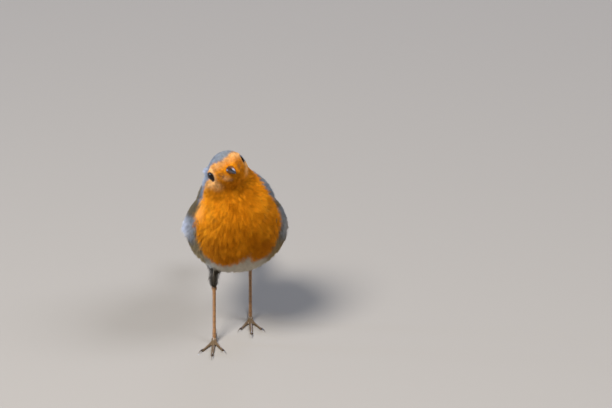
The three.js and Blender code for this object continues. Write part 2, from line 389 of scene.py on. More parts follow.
# %% [markdown]
# ## Skin
# Under its coat a robin is one smooth body, from the bill to the heels, with no seams. The skin
# lies under the coat by the coat's depth: a fraction of a millimetre on the face, over two on the
# belly, and least of all at the heels and round the eyes. The flanks are drawn in a little too,
# because the bird leans over one leg. These rules are kept as functions of a place, because the
# feathers need them again.

# %% Depth of the coat
DEPTH_FROM_BILL = [0, 6, 12, 20, 32, 46]
DEPTH_OF_COAT = [0.25, 0.4, 0.65, 1.2, 1.9, 2.2]
HEEL_DEPTH = 0.35
DEPTH_GROWS = 0.16
LID_DEPTH = 0.12
LID_DEPTH_GROWS = 0.22
EYE_RADIUS = 3.32
LID_RADIUS = 2.48
FLANK_SPOT = (24, -3, -5)
FLANK_REACH = 24
FLANK_TUCK = {"left": 0.6, "right": 0.9}


def distance_mm(points, place):
    return np.linalg.norm(points - np.array(place), axis=1) / MM


def heel_distance(points):
    return np.minimum(distance_mm(points, heels["left"]), distance_mm(points, heels["right"]))


def from_eye(points):
    """The millimetres from each place to the nearer eye's line of sight, and the way off it."""
    nearest = np.full(len(points), 99.0)
    away = np.zeros_like(points)
    for side, place in eye_places.items():
        offset = (points - np.array(place)) / MM
        ahead = dot(offset, np.array(gazes[side]))
        across = offset - ahead * np.array(gazes[side])
        distance = np.where(ahead[:, 0] > -1, np.linalg.norm(across, axis=1), 99.0)
        closer = distance < nearest
        nearest[closer] = distance[closer]
        away[closer] = unit(across[closer])
    return nearest, away


def coat_depth(points):
    """How deep the coat is at each place, in millimetres."""
    body = np.interp(distance_mm(points, bill_base), DEPTH_FROM_BILL, DEPTH_OF_COAT)
    body = np.minimum(body, HEEL_DEPTH + DEPTH_GROWS * heel_distance(points))
    off_lid = np.maximum(from_eye(points)[0] - LID_RADIUS, 0)
    return np.minimum(body, LID_DEPTH + LID_DEPTH_GROWS * off_lid)


def tucked(points):
    """Draws the flanks in a little, and the right one more, as the bird leans over that leg."""
    on_trunk = moved(points, into_trunk)
    for side, sign in SIDES.items():
        spot = np.array(FLANK_SPOT) * (sign, 1, 1)
        near = bump(np.linalg.norm(on_trunk - spot, axis=-1, keepdims=True), 0, FLANK_REACH)
        on_trunk = on_trunk - unit(on_trunk * (1, 0, 1)) * near * FLANK_TUCK[side]
    return moved(on_trunk, out_of_trunk)


print("coat at the belly's middle, mm:", coat_depth(np.array([trunk_centre])).round(2))

# %% [markdown]
# ## One closed body
# The solid model parts the body with thin cuts, so the parts are copied, swollen by as much as the
# cuts are wide, and remeshed as one closed surface. Smoothing takes the facets off, and the face
# gets less of it, because its forms are small. The surface is then drawn in by the depth of the
# coat. Round each eye it is opened to the ball and laid over its edge, to make the eyelids' bed.

# %% Skin
CUT_HALF = 0.22
VOXEL = 0.6
FACE_REACH = (10, 16)
BODY_SMOOTHING = 24
FACE_SMOOTHING = 4
LID_ANGLE = math.degrees(math.asin(LID_RADIUS / EYE_RADIUS))
LID_SOFTNESS = 3
BESIDE_EYE = 1.5

skin = merged_copy(
    "skin", "head", "neck", "trunk", "thigh_left", "thigh_right", "eye_left", "eye_right"
)
apply_modifier(skin, "DISPLACE", strength=CUT_HALF * MM, mid_level=0)
apply_modifier(skin, "REMESH", mode="VOXEL", voxel_size=VOXEL * MM)
away_from_face = skin.vertex_groups.new(name="away_from_face")
face_distance = distance_mm(points_of(skin), between_eyes)
for index, weight in enumerate(smooth_step(face_distance, *FACE_REACH).tolist()):
    away_from_face.add([index], weight, "REPLACE")
apply_modifier(
    skin, "SMOOTH", factor=0.5, iterations=BODY_SMOOTHING, vertex_group="away_from_face"
)
apply_modifier(skin, "SMOOTH", factor=0.5, iterations=FACE_SMOOTHING)
skin.vertex_groups.clear()
skin_points = points_of(skin)
drawn_in = (coat_depth(skin_points) + CUT_HALF)[:, None] * MM
move_points(skin, tucked(skin_points - normals_of(skin) * drawn_in))
apply_modifier(skin, "SMOOTH", factor=0.5, iterations=2)
skin_points = points_of(skin)
for side, place in eye_places.items():
    offset = (skin_points - np.array(place)) / MM
    reach = np.linalg.norm(offset, axis=1)
    off_gaze = np.degrees(np.arccos(np.clip(dot(unit(offset), np.array(gazes[side]))[:, 0], -1, 1)))
    over_ball = smooth_step(off_gaze, LID_ANGLE - LID_SOFTNESS, LID_ANGLE + LID_SOFTNESS)
    under_ball = np.minimum(reach, EYE_RADIUS - 0.4)
    wanted = under_ball + (np.maximum(reach, EYE_RADIUS + 0.1) - under_ball) * over_ball
    beside = (off_gaze < 100) & (reach < EYE_RADIUS + BESIDE_EYE)
    moved_out = np.where(beside, wanted / np.maximum(reach, 0.01), 1)[:, None]
    skin_points = np.array(place) + offset * moved_out * MM
move_points(skin, skin_points)
print("skin faces:", len(skin.data.polygons))

# %% [markdown]
# ## Unwrap of the skin
# The coat's colours can be stored against a flat map of the skin. Blender's own unwrap cuts the
# skin into flat islands, and every tuft of feathers then keeps the map place of its root.

# %% Unwrap
UNWRAP = {"angle_limit": math.radians(66), "island_margin": 0.004}
edit_all(skin, bpy.ops.uv.smart_project, **UNWRAP)
skin.data.uv_layers[0].name = "OFBake"
print("unwrapped corners:", len(skin.data.loops))

# %% [markdown]
# ## Markings
# A robin's orange-red face and breast end in a clear line, with a band of blue-grey outside it.
# Its belly is dull white, its flanks are buff and its upper side is olive brown. The line is told
# in the body's own frames, as how far back it runs at each angle: on the head, from the crown at 0
# to the throat at 180 degrees, and on the trunk, from the keel at 0 round each side to the back.

# %% Markings
HEAD_ANGLE = [0, 17, 27, 35, 42, 60, 86, 92, 98, 104, 112, 125, 150]
HEAD_LINE = [-6.3, -5.4, -4.0, -2.2, -0.4, 1.0, 1.5, 2.6, 5.0, 9.5, 12.5, 16, 24]
HEAD_AXIS_UP = -2
TRUNK_ANGLE = [-130, -95, -91, -86, -78, -72, -60, -50, -37, -25, -8, 0, 7, 14, 20, 32, 45, 53,
               66, 75, 81, 91, 97, 110, 130]
TRUNK_LINE = [-48, -40, -23, -20, -16.5, -9.5, -8, -7.2, -5.7, -5.5, -10, -12.5, -16.5, -18.7, -12,
              -9.6, -6.8, -8.5, -12.1, -16.5, -22, -28.5, -31.5, -33.5, -32]
NECK_BENDS_AT = -12
NECK_BEND = 0.5
GREY_BAND = 9
CHIN_SPOT = (-1.6, -8.6, -4.5)


def angle_round(on_trunk):
    """Degrees round the spine, which bends up into the neck: 0 at the keel, 90 at the left side."""
    spine_up = NECK_BEND * np.maximum(NECK_BENDS_AT - on_trunk[:, 1], 0)
    return np.degrees(np.arctan2(on_trunk[:, 0], spine_up - on_trunk[:, 2]))


def markings(points):
    """For each place, the shares of orange, grey, white and buff, and what is left is olive."""
    on_head = moved(points, into_head)
    on_trunk = moved(points, into_trunk)
    head_angle = np.degrees(np.arctan2(np.abs(on_head[:, 0]), on_head[:, 2] - HEAD_AXIS_UP))
    head_side = np.interp(head_angle, HEAD_ANGLE, HEAD_LINE) - on_head[:, 1]
    angle = angle_round(on_trunk)
    trunk_side = np.interp(angle, TRUNK_ANGLE, TRUNK_LINE) - on_trunk[:, 1]
    head_share = smooth_step(on_head[:, 2], -10, -5)
    head_share *= 1 - smooth_step(np.linalg.norm(on_head - [0, 2, -1], axis=1), 14, 18)
    inside = head_share * head_side + (1 - head_share) * trunk_side
    inside += speckle(points, 2.5 * MM) * 0.7
    orange = smooth_step(inside, -0.7, 0.7)
    around = np.abs(angle)
    under = (1 - smooth_step(around, 36, 54)) * (1 - head_share)
    flank = smooth_step(around, 34, 52) * (1 - smooth_step(around, 88, 104)) * (1 - head_share)
    wider = 0.9 * smooth_step(around, 74, 88) - 0.8 * smooth_step(around, 94, 122)
    band = GREY_BAND * (0.55 + 0.45 * head_share + wider * (1 - head_share))
    grey = smooth_step(inside, -band - 3, -band) * (1 - under) * (1 - 0.75 * flank * (around < 80))
    left = 1 - orange
    grey = grey * left
    left = left - grey
    white = under * left
    left = left - white
    buff = flank * left
    chin = bump(np.linalg.norm(on_head - CHIN_SPOT, axis=1), 0, 2.0) * 0.45
    marks = np.stack([orange, grey, white, buff], axis=1) * (1 - chin[:, None])
    marks[:, 2] += chin
    return marks


print("markings at the bill, breast and back:")
print(markings(np.array([bill_base, trunk_centre, tail_root])).round(2))

# %% [markdown]
# ## Plumage material
# Body feathers are loose, soft and matt: fine barbs with no firm vane scatter the light, with a
# faint sheen along their edges. One recipe of nodes serves the skin and the coat. It reads the
# markings that each mesh carries and paints them over one another, darkens the downy base of each
# tuft, lets neighbouring tufts differ in tone, and adds lighter clumps about 4 mm across. A tuft's
# tone and paleness also carry the coat's painted light and shade, and a lower tone deepens the
# orange.

# %% Plumage material
ORANGE = 0xFFB428
DEEP_ORANGE = 0xD47604
PALE_ORANGE = 0xF7C584
GREY = 0x868D95
PALE_GREY = 0xD3D6E2
OLIVE = 0x6E5F42
WHITE = 0xC4BBAA
BUFF = 0x9C855C
DOWN = 0x3A332E
SHEEN = 0xC9A87A
CLUMP_SIZE = 3.85
DOWN_REACH = 0.55
DARKEST_TUFT = 0.58
LIGHTEST_TUFT = 1.38


# A Mix node in these settings paints one colour over another: its input 0 is the share, 6 is the
# colour below and 7 the colour over it, and its output 2 is the result.
LAYER = {"data_type": "RGBA", "clamp_factor": True}
print("clumps, mm:", CLUMP_SIZE)

# %% Plumage nodes
def plumage_material(name, olive, down_share):
    """Soft body feathers that carry the bird's markings."""
    material, shader = new_material(
        name, Roughness=0.85, Specular_IOR_Level=0.03, Sheen_Weight=0.04, Sheen_Roughness=0.5,
        Sheen_Tint=linear(SHEEN)
    )
    marks = add_node(material, "ShaderNodeAttribute", attribute_name="markings")
    parts = add_node(material, "ShaderNodeSeparateColor", {"Color": marks.outputs["Color"]})
    tuft = add_node(material, "ShaderNodeAttribute", attribute_name="tuft")
    growth = add_node(material, "ShaderNodeSeparateColor", {"Color": tuft.outputs["Color"]})
    place = add_node(material, "ShaderNodeTexCoord")
    stretch = add_node(
        material, "ShaderNodeMapping", {"Vector": place.outputs["Object"], "Scale": (1, 1, 0.4)}
    )
    clumps = add_node(
        material, "ShaderNodeTexNoise",
        {"Vector": stretch.outputs["Vector"], "Scale": 1 / (CLUMP_SIZE * MM), "Detail": 3.0,
         "Roughness": 0.6},
    )
    mottled = {0: clumps.outputs["Fac"], 6: linear(DEEP_ORANGE), 7: linear(ORANGE)}
    mottled = add_node(material, "ShaderNodeMix", mottled, **LAYER)
    # A lower tone picks a deeper orange: partly random, partly the painted shade that the tone carries.
    orange = linear(DEEP_ORANGE)
    for share, over in (
        (growth.outputs["Green"], mottled.outputs[2]),
        (growth.outputs["Blue"], linear(PALE_ORANGE)),
    ):
        layer = add_node(material, "ShaderNodeMix", {0: share, 6: orange, 7: over}, **LAYER)
        orange = layer.outputs[2]
    base = add_node(
        material, "ShaderNodeMapRange",
        {"Value": growth.outputs["Red"], "From Min": 0.0, "From Max": DOWN_REACH,
         "To Min": down_share, "To Max": 0.0},
    )
    colour = linear(olive)
    for share, over in (
        (parts.outputs["Green"], linear(GREY)), (parts.outputs["Blue"], linear(WHITE)),
        (marks.outputs["Alpha"], linear(BUFF)), (growth.outputs["Blue"], linear(PALE_GREY)),
        (parts.outputs["Red"], orange), (base.outputs["Result"], linear(DOWN)),
    ):
        layer = add_node(material, "ShaderNodeMix", {0: share, 6: colour, 7: over}, **LAYER)
        colour = layer.outputs[2]
    chance = add_node(
        material, "ShaderNodeMapRange",
        {"Value": growth.outputs["Green"], "To Min": DARKEST_TUFT, "To Max": LIGHTEST_TUFT},
    )
    varied = add_node(
        material, "ShaderNodeHueSaturation", {"Color": colour, "Value": chance.outputs["Result"]}
    )
    link(material, varied.outputs["Color"], shader, "Base Color")
    return material


coat_material = plumage_material("soft_contour_feathers", OLIVE, 0.55)
skin_material = plumage_material("downy_skin", OLIVE, 0.0)


print("nodes in the plumage material:", len(coat_material.node_tree.nodes))

# %% [markdown]
# ## Colours of the skin
# The skin carries the same markings as the coat, so that a gap between two tufts shows the colour
# of the feathers round it. Close to the eye the orange is a little paler.

# %% Colours of the skin
def store_colour(mesh, name, rows):
    """Keeps four numbers for each point of a mesh, as a colour that a material can read."""
    attribute = mesh.color_attributes.new(name, "FLOAT_COLOR", "POINT")
    attribute.data.foreach_set("color", np.ascontiguousarray(rows, np.float32).ravel())


SKIN_TUFT = [0.2, 0.25, 0.0, 1.0]
PALE_EYE_RING = (3.4, 6.5)
skin_points = points_of(skin)
skin_marks = markings(skin_points)
store_colour(skin.data, "markings", skin_marks)
plain = np.tile(SKIN_TUFT, (len(skin_points), 1))
near_eye = 1 - smooth_step(from_eye(skin_points)[0], *PALE_EYE_RING)
plain[:, 2] = 0.6 * near_eye * skin_marks[:, 0]
store_colour(skin.data, "tuft", plain)
hand_over(
    skin, skin_material, "breast_feathers", "head", "neck", "trunk", "thigh_left", "thigh_right"
)
print("points of the skin near an eye:", int((near_eye > 0).sum()))

# %% [markdown]
# ## The lie of the feathers
# Feathers grow from the bill backwards, like tiles on a roof: over the crown and the back to the
# tail, and down the throat and breast to the belly. So the lie at a place points away from the
# bill and towards the tail, laid flat on the skin there. On the thighs it runs down to the heel.

# %% Lie of the feathers
BILL_REACH = 26
THIGH_REACH = 9


def lie_at(points, normals):
    """The direction in which feathers lie at each place, flat on the skin."""
    from_bill = unit(points - np.array(bill_base))
    to_tail = unit(np.array(tail_root) - points)
    head_pull = np.exp(-distance_mm(points, bill_base) / BILL_REACH)[:, None]
    flow = from_bill * (0.25 + 2.2 * head_pull) + to_tail
    distance, away = from_eye(points)
    near_eye = 1 - smooth_step(distance, LID_RADIUS + 0.3, LID_RADIUS + 2.6)[:, None]
    flow = flow + away * (0.4 - np.minimum(dot(flow, away), 0)) * near_eye
    for heel in heels.values():
        near = 1 - smooth_step(distance_mm(points, heel), THIGH_REACH, THIGH_REACH + 5)
        flow = flow * (1 - near[:, None]) + unit(np.array(heel) - points) * near[:, None]
    return unit(flow - normals * dot(flow, normals))


class Surface:
    """A mesh that feathers grow on: where its nearest places are, and which way they face."""

    def __init__(self, piece):
        mesh = piece.data
        mesh.calc_loop_triangles()
        count = len(mesh.loop_triangles)
        self.triangles = np.empty(count * 3, np.int32)
        mesh.loop_triangles.foreach_get("vertices", self.triangles)
        self.triangles = self.triangles.reshape(-1, 3)
        self.points = points_of(piece)
        self.normals = normals_of(piece)
        self.tree = BVHTree.FromPolygons(self.points.tolist(), self.triangles.tolist())
        loops = np.empty(count * 3, np.int32)
        mesh.loop_triangles.foreach_get("loops", loops)
        flat = np.empty(len(mesh.loops) * 2, np.float32)
        mesh.uv_layers[0].data.foreach_get("uv", flat)
        self.flat = flat.reshape(-1, 2)[loops.reshape(-1, 3)]

    def nearest(self, points):
        """The nearest places on the mesh, its smooth normals there, and which triangles hold them."""
        found = [self.tree.find_nearest(row)[:3:2] for row in points.tolist()]
        places = np.array([hit[0] for hit in found])
        triangles = np.array([hit[1] for hit in found])
        shares = self.shares(places, triangles)
        normals = unit((self.normals[self.triangles[triangles]] * shares[:, :, None]).sum(axis=1))
        return places, normals, triangles

    def shares(self, places, triangles):
        """How much each corner of its triangle counts at each place."""
        a, b, c = np.moveaxis(self.points[self.triangles[triangles]], 1, 0)
        ab, ac, ap = b - a, c - a, places - a
        bb, bc, cc = (ab * ab).sum(1), (ab * ac).sum(1), (ac * ac).sum(1)
        pb, pc = (ap * ab).sum(1), (ap * ac).sum(1)
        scale = np.maximum(bb * cc - bc * bc, 1e-20)
        second = np.clip((cc * pb - bc * pc) / scale, 0, 1)
        third = np.clip((bb * pc - bc * pb) / scale, 0, 1 - second)
        return np.stack([1 - second - third, second, third], axis=1)


skin_surface = Surface(skin)
print("skin triangles:", len(skin_surface.triangles))

# %% [markdown]
# ## Even, random places
# Feathers stand evenly but not in rows, so random places are drawn on the skin and each one kept
# clears its near neighbours away. About three times as many are drawn as can stay, which fills the
# surface well.

# %% Scatter
CROWD = 3.2


def tree_of(places):
    """A tree that finds the nearest of many places quickly."""
    tree = KDTree(len(places))
    for index, place in enumerate(places.tolist()):
        tree.insert(place, index)
    tree.balance()
    return tree


def scatter(surface, spacing, chance):
    """Random places on a surface, none nearer to another than the spacing (mm) there."""
    corners = surface.points[surface.triangles]
    middles = corners.mean(axis=1)
    gap = spacing(middles) * MM
    across = np.cross(corners[:, 1] - corners[:, 0], corners[:, 2] - corners[:, 0])
    wanted = np.linalg.norm(across, axis=1) / 2 / gap**2
    count = int(CROWD * wanted.sum())
    drawn = chance.choice(len(wanted), count, p=wanted / wanted.sum())
    first, second = chance.random((2, count))
    beyond = first + second > 1
    first[beyond], second[beyond] = 1 - first[beyond], 1 - second[beyond]
    a, b, c = np.moveaxis(corners[drawn], 1, 0)
    places = a + (b - a) * first[:, None] + (c - a) * second[:, None]
    tree = tree_of(places)
    free = np.ones(count, bool)
    kept = []
    for index in range(count):
        if free[index]:
            kept.append(index)
            for _, other, _ in tree.find_range(places[index], gap[drawn[index]]):
                free[other] = False
    return places[kept], drawn[kept]


# %% [markdown]
# ## One tuft
# A body feather's visible end is a loose fan of barbs. Each tuft here is such a fan of narrow
# blades: it starts just under the skin, follows the lie over the body's curves in three steps, and
# rises to the coat's surface. This cell finds the middle line of each tuft.

# %% Middle lines of tufts
STEPS = 3
ROOT_DEPTH = 0.1


def tuft_paths(surface, roots, length, rise, gather):
    """The middle line of each tuft, its normals, and the map place of its root."""
    places, normals, triangles = surface.nearest(roots)
    shares = surface.shares(places, triangles)
    flat = (surface.flat[triangles] * shares[:, :, None]).sum(axis=1)
    path, facing = [places - normals * ROOT_DEPTH * MM], [normals]
    here = places
    for step in range(STEPS):
        lie = lie_at(here, facing[-1])
        here, normal, _ = surface.nearest(here + lie * (length / STEPS)[:, None] * MM)
        share = (step + 1) / STEPS
        path.append(here + normal * (rise * share**0.8)[:, None] * MM + gather * share**1.5)
        facing.append(normal)
    return np.stack(path, axis=1), np.stack(facing, axis=1), flat


# %% [markdown]
# ## Blades of a tuft
# The blades are made for all tufts at once, as arrays, because a bird has thousands. They spread
# from the middle line like an open fan, the outer ones shorter, and each strays a little at
# random. A blade is three steps of two triangles with a single pointed one at its tip. Its normals
# lean with the body, so the coat shades softly, as down does.

# %% Blades
BLADES = 7
BLADE_TAPER = np.array([0.75, 1.0, 0.72])
FAN_OPENING = np.array([0.1, 0.5, 0.84, 1.0])
STRAY_ASIDE = 0.16
STRAY_LENGTH = 0.09
STRAY_TWIST = 0.5
STRAY_LIFT = 0.1
OUTER_SHORTER = 0.28


def blades(path, facing, fan, width, chance):
    """Every blade of every tuft: its corners, their normals, and how far along each corner is."""
    size = (len(path), BLADES)
    spot = np.linspace(-1, 1, BLADES)[None, :] + chance.normal(0, STRAY_ASIDE, size)
    reach = 1 - OUTER_SHORTER * spot**2 + chance.normal(0, STRAY_LENGTH, size)
    twist = chance.normal(0, STRAY_TWIST, size)
    lift = chance.normal(0, STRAY_LIFT, size)
    along = np.arange(STEPS + 1) / STEPS
    where = np.clip(along[None, None, :] * reach[:, :, None], 0, 1.12) * STEPS
    lower = np.minimum(where.astype(int), STEPS - 1)
    share = (where - lower)[..., None]
    rows = np.arange(len(path))[:, None, None]
    spine = path[rows, lower] * (1 - share) + path[rows, lower + 1] * share
    normal = unit(facing[rows, lower] * (1 - share) + facing[rows, lower + 1] * share)
    forward = unit(np.gradient(spine, axis=2))
    side = unit(np.cross(forward, normal))
    offset = spot[:, :, None] * fan[:, None, None] * FAN_OPENING * MM
    rise = lift[:, :, None] * fan[:, None, None] * along**2 * MM
    spine = spine + side * offset[..., None] + normal * rise[..., None]
    edge = side * np.cos(twist)[..., None, None] + normal * np.sin(twist)[..., None, None]
    half = width[:, None, None, None] * BLADE_TAPER[None, None, :, None] / 2 * MM
    left = spine[:, :, :STEPS] - edge[:, :, :STEPS] * half
    right = spine[:, :, :STEPS] + edge[:, :, :STEPS] * half
    tip = spine[:, :, STEPS:]
    lean = normal + 0.3 * spot[:, :, None, None] * side
    corners = np.concatenate([left, right, tip], axis=2)
    over = 0.2 * side[:, :, :STEPS]
    shading = [lean[:, :, :STEPS] - over, lean[:, :, :STEPS] + over, lean[:, :, STEPS:]]
    shading = np.concatenate(shading, axis=2)
    steps = np.concatenate([along[:STEPS], along[:STEPS], along[STEPS:]])
    return corners, unit(shading), np.broadcast_to(steps, corners.shape[:3])


def blade_triangles(count):
    """The corner numbers of the triangles of many blades."""
    one = []
    for step in range(STEPS - 1):
        near_left, far_left = step, step + 1
        near_right, far_right = STEPS + step, STEPS + step + 1
        one += [(near_left, near_right, far_left), (near_right, far_right, far_left)]
    one.append((STEPS - 1, 2 * STEPS - 1, 2 * STEPS))
    one = np.array(one)
    starts = np.arange(count)[:, None, None] * (2 * STEPS + 1)
    return (one[None] + starts).reshape(-1, 3)


# %% [markdown]
# ## A piece of coat
# Each piece of the coat is one mesh. Every corner keeps how far along its blade it is, how light
# and how pale its tuft is, and the tuft's markings. A tuft's blades share a small patch of the flat
# map, where the tuft grows, so that the map can hold the coat's colours without a place for each.

# %% Coat pieces
PATCH = 0.003
TUFT_TONE = 0.72


def mesh_from(name, corners, triangles):
    """A mesh made from arrays of corners and triangles."""
    mesh = bpy.data.meshes.new(name)
    mesh.vertices.add(len(corners))
    mesh.vertices.foreach_set("co", corners.astype(np.float32).ravel())
    mesh.loops.add(triangles.size)
    mesh.loops.foreach_set("vertex_index", triangles.astype(np.int32).ravel())
    mesh.polygons.add(len(triangles))
    mesh.polygons.foreach_set("loop_start", np.arange(0, triangles.size, 3, dtype=np.int32))
    mesh.update(calc_edges=True)
    return mesh


def coat_piece(name, surface, tufts, material, chance):
    """One piece of coat, from each tuft's root, length, rise, fan and width (mm) and colours."""
    path, facing, flat = tuft_paths(
        surface, tufts["roots"], tufts["length"], tufts["rise"], tufts["gather"]
    )
    corners, shading, along = blades(path, facing, tufts["fan"], tufts["width"], chance)
    tuft_count, _, per_blade = corners.shape[:3]
    triangles = blade_triangles(tuft_count * BLADES)
    mesh = mesh_from(name, corners.reshape(-1, 3), triangles)
    mesh.polygons.foreach_set("use_smooth", np.ones(len(triangles), bool))
    mesh.normals_split_custom_set_from_vertices(shading.reshape(-1, 3).tolist())
    blade_tone = chance.random((tuft_count, BLADES))
    tone = tufts["tone"][:, None] * TUFT_TONE + blade_tone * (1 - TUFT_TONE)
    grown = np.stack(
        [along, np.repeat(tone[:, :, None], per_blade, axis=2),
         np.broadcast_to(tufts["pale"][:, None, None], along.shape), np.ones_like(along)], axis=-1
    )
    store_colour(mesh, "tuft", grown.reshape(-1, 4))
    store_colour(mesh, "markings", np.repeat(tufts["marks"], BLADES * per_blade, axis=0))
    local = chance.uniform(-0.5, 0.5, (tuft_count, BLADES, 1))
    patch_x = np.broadcast_to(local, along.shape) * PATCH
    patch_y = (along - 0.5) * PATCH
    spots = np.stack([patch_x, patch_y], axis=-1) + flat[:, None, None, :]
    layer = mesh.uv_layers.new(name="OFBake")
    layer.data.foreach_set("uv", spots.reshape(-1, 2)[triangles.ravel()].astype(np.float32).ravel())
    mesh.materials.append(material)
    piece = new_piece(name, mesh)
    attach(piece, "root")
    print(name, "tufts:", tuft_count, "triangles:", len(triangles))


# %% [markdown]
# ## The folded wing's form
# A folded wing is a long leaf laid over the flank. The solid model holds that leaf, and here it is
# measured by rays cast in from outside and out from the spine, so that any spot on it can be told
# by three plain numbers: the share of the wing's length, the height up the flank, and the depth in
# the leaf. Each feather is then laid out flat in those numbers and follows the body's curve.

# %% Wing form
WING_START = -22
WING_LENGTH = 70
WING_HALF_DEPTH = 11
GIRTH = 22
WING_HALF_SHARES = [0.45, 0.92, 1, 0.93, 0.72, 0.5, 0.2]
WING_MIDDLES = [2.5, 3.5, 5, 8, 12, 16, 19]
RAYS_ALONG = 29
RAYS_ACROSS = 11
RAY_START = 45
EDGE_SHARE = 0.94
BEND_BURIED = 2.0
BEND_SHARE = 0.13
LEAF_THICK = 1.3


def stations(values, share):
    """A smooth curve through evenly spaced values, read at shares from 0 to 1."""
    values = np.array(values, float)
    spot = np.clip(share, 0, 1) * (len(values) - 1)
    low = np.minimum(spot.astype(int), len(values) - 2)
    step = spot - low
    before, here = values[np.maximum(low - 1, 0)], values[low]
    after, beyond = values[low + 1], values[np.minimum(low + 2, len(values) - 1)]
    bend = 2 * before - 5 * here + 4 * after - beyond
    twist = -before + 3 * here - 3 * after + beyond
    return 0.5 * (2 * here + (after - before) * step + bend * step**2 + twist * step**3)


def wing_half(share):
    return WING_HALF_DEPTH * stations(WING_HALF_SHARES, share)


def wing_middle(share):
    return stations(WING_MIDDLES, share)


def wing_spot(points):
    """The wing's own numbers for places near it: share of its length, and -1 to 1 across it."""
    on_trunk = moved(points, into_trunk)
    share = (on_trunk[:, 1] - WING_START) / WING_LENGTH
    height = np.arctan2(on_trunk[:, 2], np.abs(on_trunk[:, 0])) * GIRTH
    return share, (height - wing_middle(share)) / wing_half(share)


class WingForm:
    """The outer and inner faces of one folded wing, as distances from the spine's line."""

    def __init__(self, side):
        self.sign = SIDES[side]
        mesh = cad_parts["wing_" + side].data
        faces = [list(face.vertices) for face in mesh.polygons]
        tree = BVHTree.FromPolygons([corner.co for corner in mesh.vertices], faces)
        self.shares = np.linspace(0.012, 0.985, RAYS_ALONG)
        self.spots = np.linspace(-EDGE_SHARE, EDGE_SHARE, RAYS_ACROSS)
        reach = np.full((2, RAYS_ALONG, RAYS_ACROSS), np.nan)
        for i, share in enumerate(self.shares):
            for j, spot in enumerate(self.spots):
                height = wing_middle(share) + spot * wing_half(share)
                out = self.ray(share, height, RAY_START)
                spine = self.ray(share, height, 0)
                for face, (start, end) in enumerate(((out, spine), (spine, out))):
                    place, *_ = tree.ray_cast(start, end - start)
                    if place is not None:
                        reach[face, i, j] = (place - spine).length / MM
        self.reach = np.stack([self.filled(face) for face in reach])

    def ray(self, share, height, reach):
        tilt = height / GIRTH
        along = WING_START + share * WING_LENGTH
        sideways, upwards = self.sign * math.cos(tilt) * reach, math.sin(tilt) * reach
        return out_of_trunk @ Vector((sideways, along, upwards))

    def filled(self, face):
        """Gives spots that no ray met their neighbour's distance, and softens the rest."""
        for column in face.T:
            known = np.flatnonzero(~np.isnan(column))
            column[:] = np.interp(np.arange(len(column)), known, column[known])
        for _ in range(2):
            padded = np.pad(face, 1, mode="edge")
            face = (padded[:-2, 1:-1] + padded[2:, 1:-1] + padded[1:-1, :-2] + padded[1:-1, 2:]
                    + 4 * face) / 8
        return face

    def place(self, share, height, depth, lift=0.0):
        """Places in metres. Depth is 0 on the outer face and 1 on the inner one, lift is in mm."""
        spot = (height - wing_middle(share)) / wing_half(share)
        row = np.interp(share, self.shares, np.arange(RAYS_ALONG))
        column = np.interp(spot, self.spots, np.arange(RAYS_ACROSS))
        i = np.minimum(row.astype(int), RAYS_ALONG - 2)
        j = np.minimum(column.astype(int), RAYS_ACROSS - 2)
        x, y = row - i, column - j
        grid = self.reach
        outer, inner = ((grid[f, i, j] * (1 - y) + grid[f, i, j + 1] * y) * (1 - x)
                        + (grid[f, i + 1, j] * (1 - y) + grid[f, i + 1, j + 1] * y) * x for f in (0, 1))
        reach = outer - np.maximum(outer - inner, LEAF_THICK) * depth + lift
        reach = reach - BEND_BURIED * (1 - smooth_step(share, 0.0, BEND_SHARE))
        tilt = height / GIRTH
        local = np.stack([self.sign * np.cos(tilt) * reach, WING_START + share * WING_LENGTH,
                          np.sin(tilt) * reach], axis=-1)
        return tucked(moved(local, out_of_trunk))


wing_forms = {side: WingForm(side) for side in SIDES}
print("wing leaf, mm thick at its middle:",
      round(float(wing_forms["left"].reach[0, 14, 5] - wing_forms["left"].reach[1, 14, 5]), 2))

# %% [markdown]
# ## How the coat clumps and varies
# Loose barbs cling together, so tufts near each other lean into one clump, and clumps part a
# little. Noise drawn out along the body gives the fine light and dark streaks of worn feather
# edges. Feathers are small and close on the face, larger on the body, and widest apart on the back.

# %% Clumps and streaks
chance = np.random.default_rng(18)
CLUMP_PULL = 0.4
STREAK_WIDE = 0.7
STREAK_LONG = 5.0
THIGH_MARGIN = 0.3 * MM


def coat_spacing(points):
    """Closer where the coat is shallow, and wider on the back and the nape than on the breast."""
    behind = smooth_step(np.abs(angle_round(moved(points, into_trunk))), 105, 130)
    return (0.23 + 0.12 * coat_depth(points)) * (1 + 0.25 * behind)


def streaks(points):
    """Noise from 0 to 1, drawn out along the body."""
    on_trunk = moved(points, into_trunk)
    round_body = np.radians(angle_round(on_trunk)) * GIRTH
    along = on_trunk[:, 1] / STREAK_LONG
    flat = np.stack([round_body / STREAK_WIDE, along, along * 0], axis=1)
    return np.clip(0.5 + 0.5 * speckle(flat, 1.0) + 0.25 * speckle(flat * 2.3, 1.0, 7.0), 0, 1)


def clumped(surface, roots, spacing):
    """Which way each tuft leans into its clump (metres), and how central and how light it is."""
    centres, _ = scatter(surface, spacing, chance)
    tree = tree_of(centres)
    nearest = np.array([tree.find(row)[1] for row in roots.tolist()])
    _, normals, _ = surface.nearest(roots)
    lie = lie_at(roots, normals)
    shift = centres[nearest] - roots
    shift = shift - lie * dot(shift, lie) - normals * dot(shift, normals)
    light = chance.random(len(centres))[nearest]
    central = 1 - np.linalg.norm(shift, axis=1) / MM / (spacing(roots) * 0.6)
    return shift * CLUMP_PULL, np.clip(central, 0, 1), light


def tone_of(points, light):
    return 0.08 + 0.3 * streaks(points) + 0.22 * light + 0.32 * chance.random(len(points))


def spot_of(places, middle, radius):
    """1 at one place, falling smoothly to 0 at a radius from it."""
    return bump(np.linalg.norm(places - np.array(middle), axis=1), 0, radius)


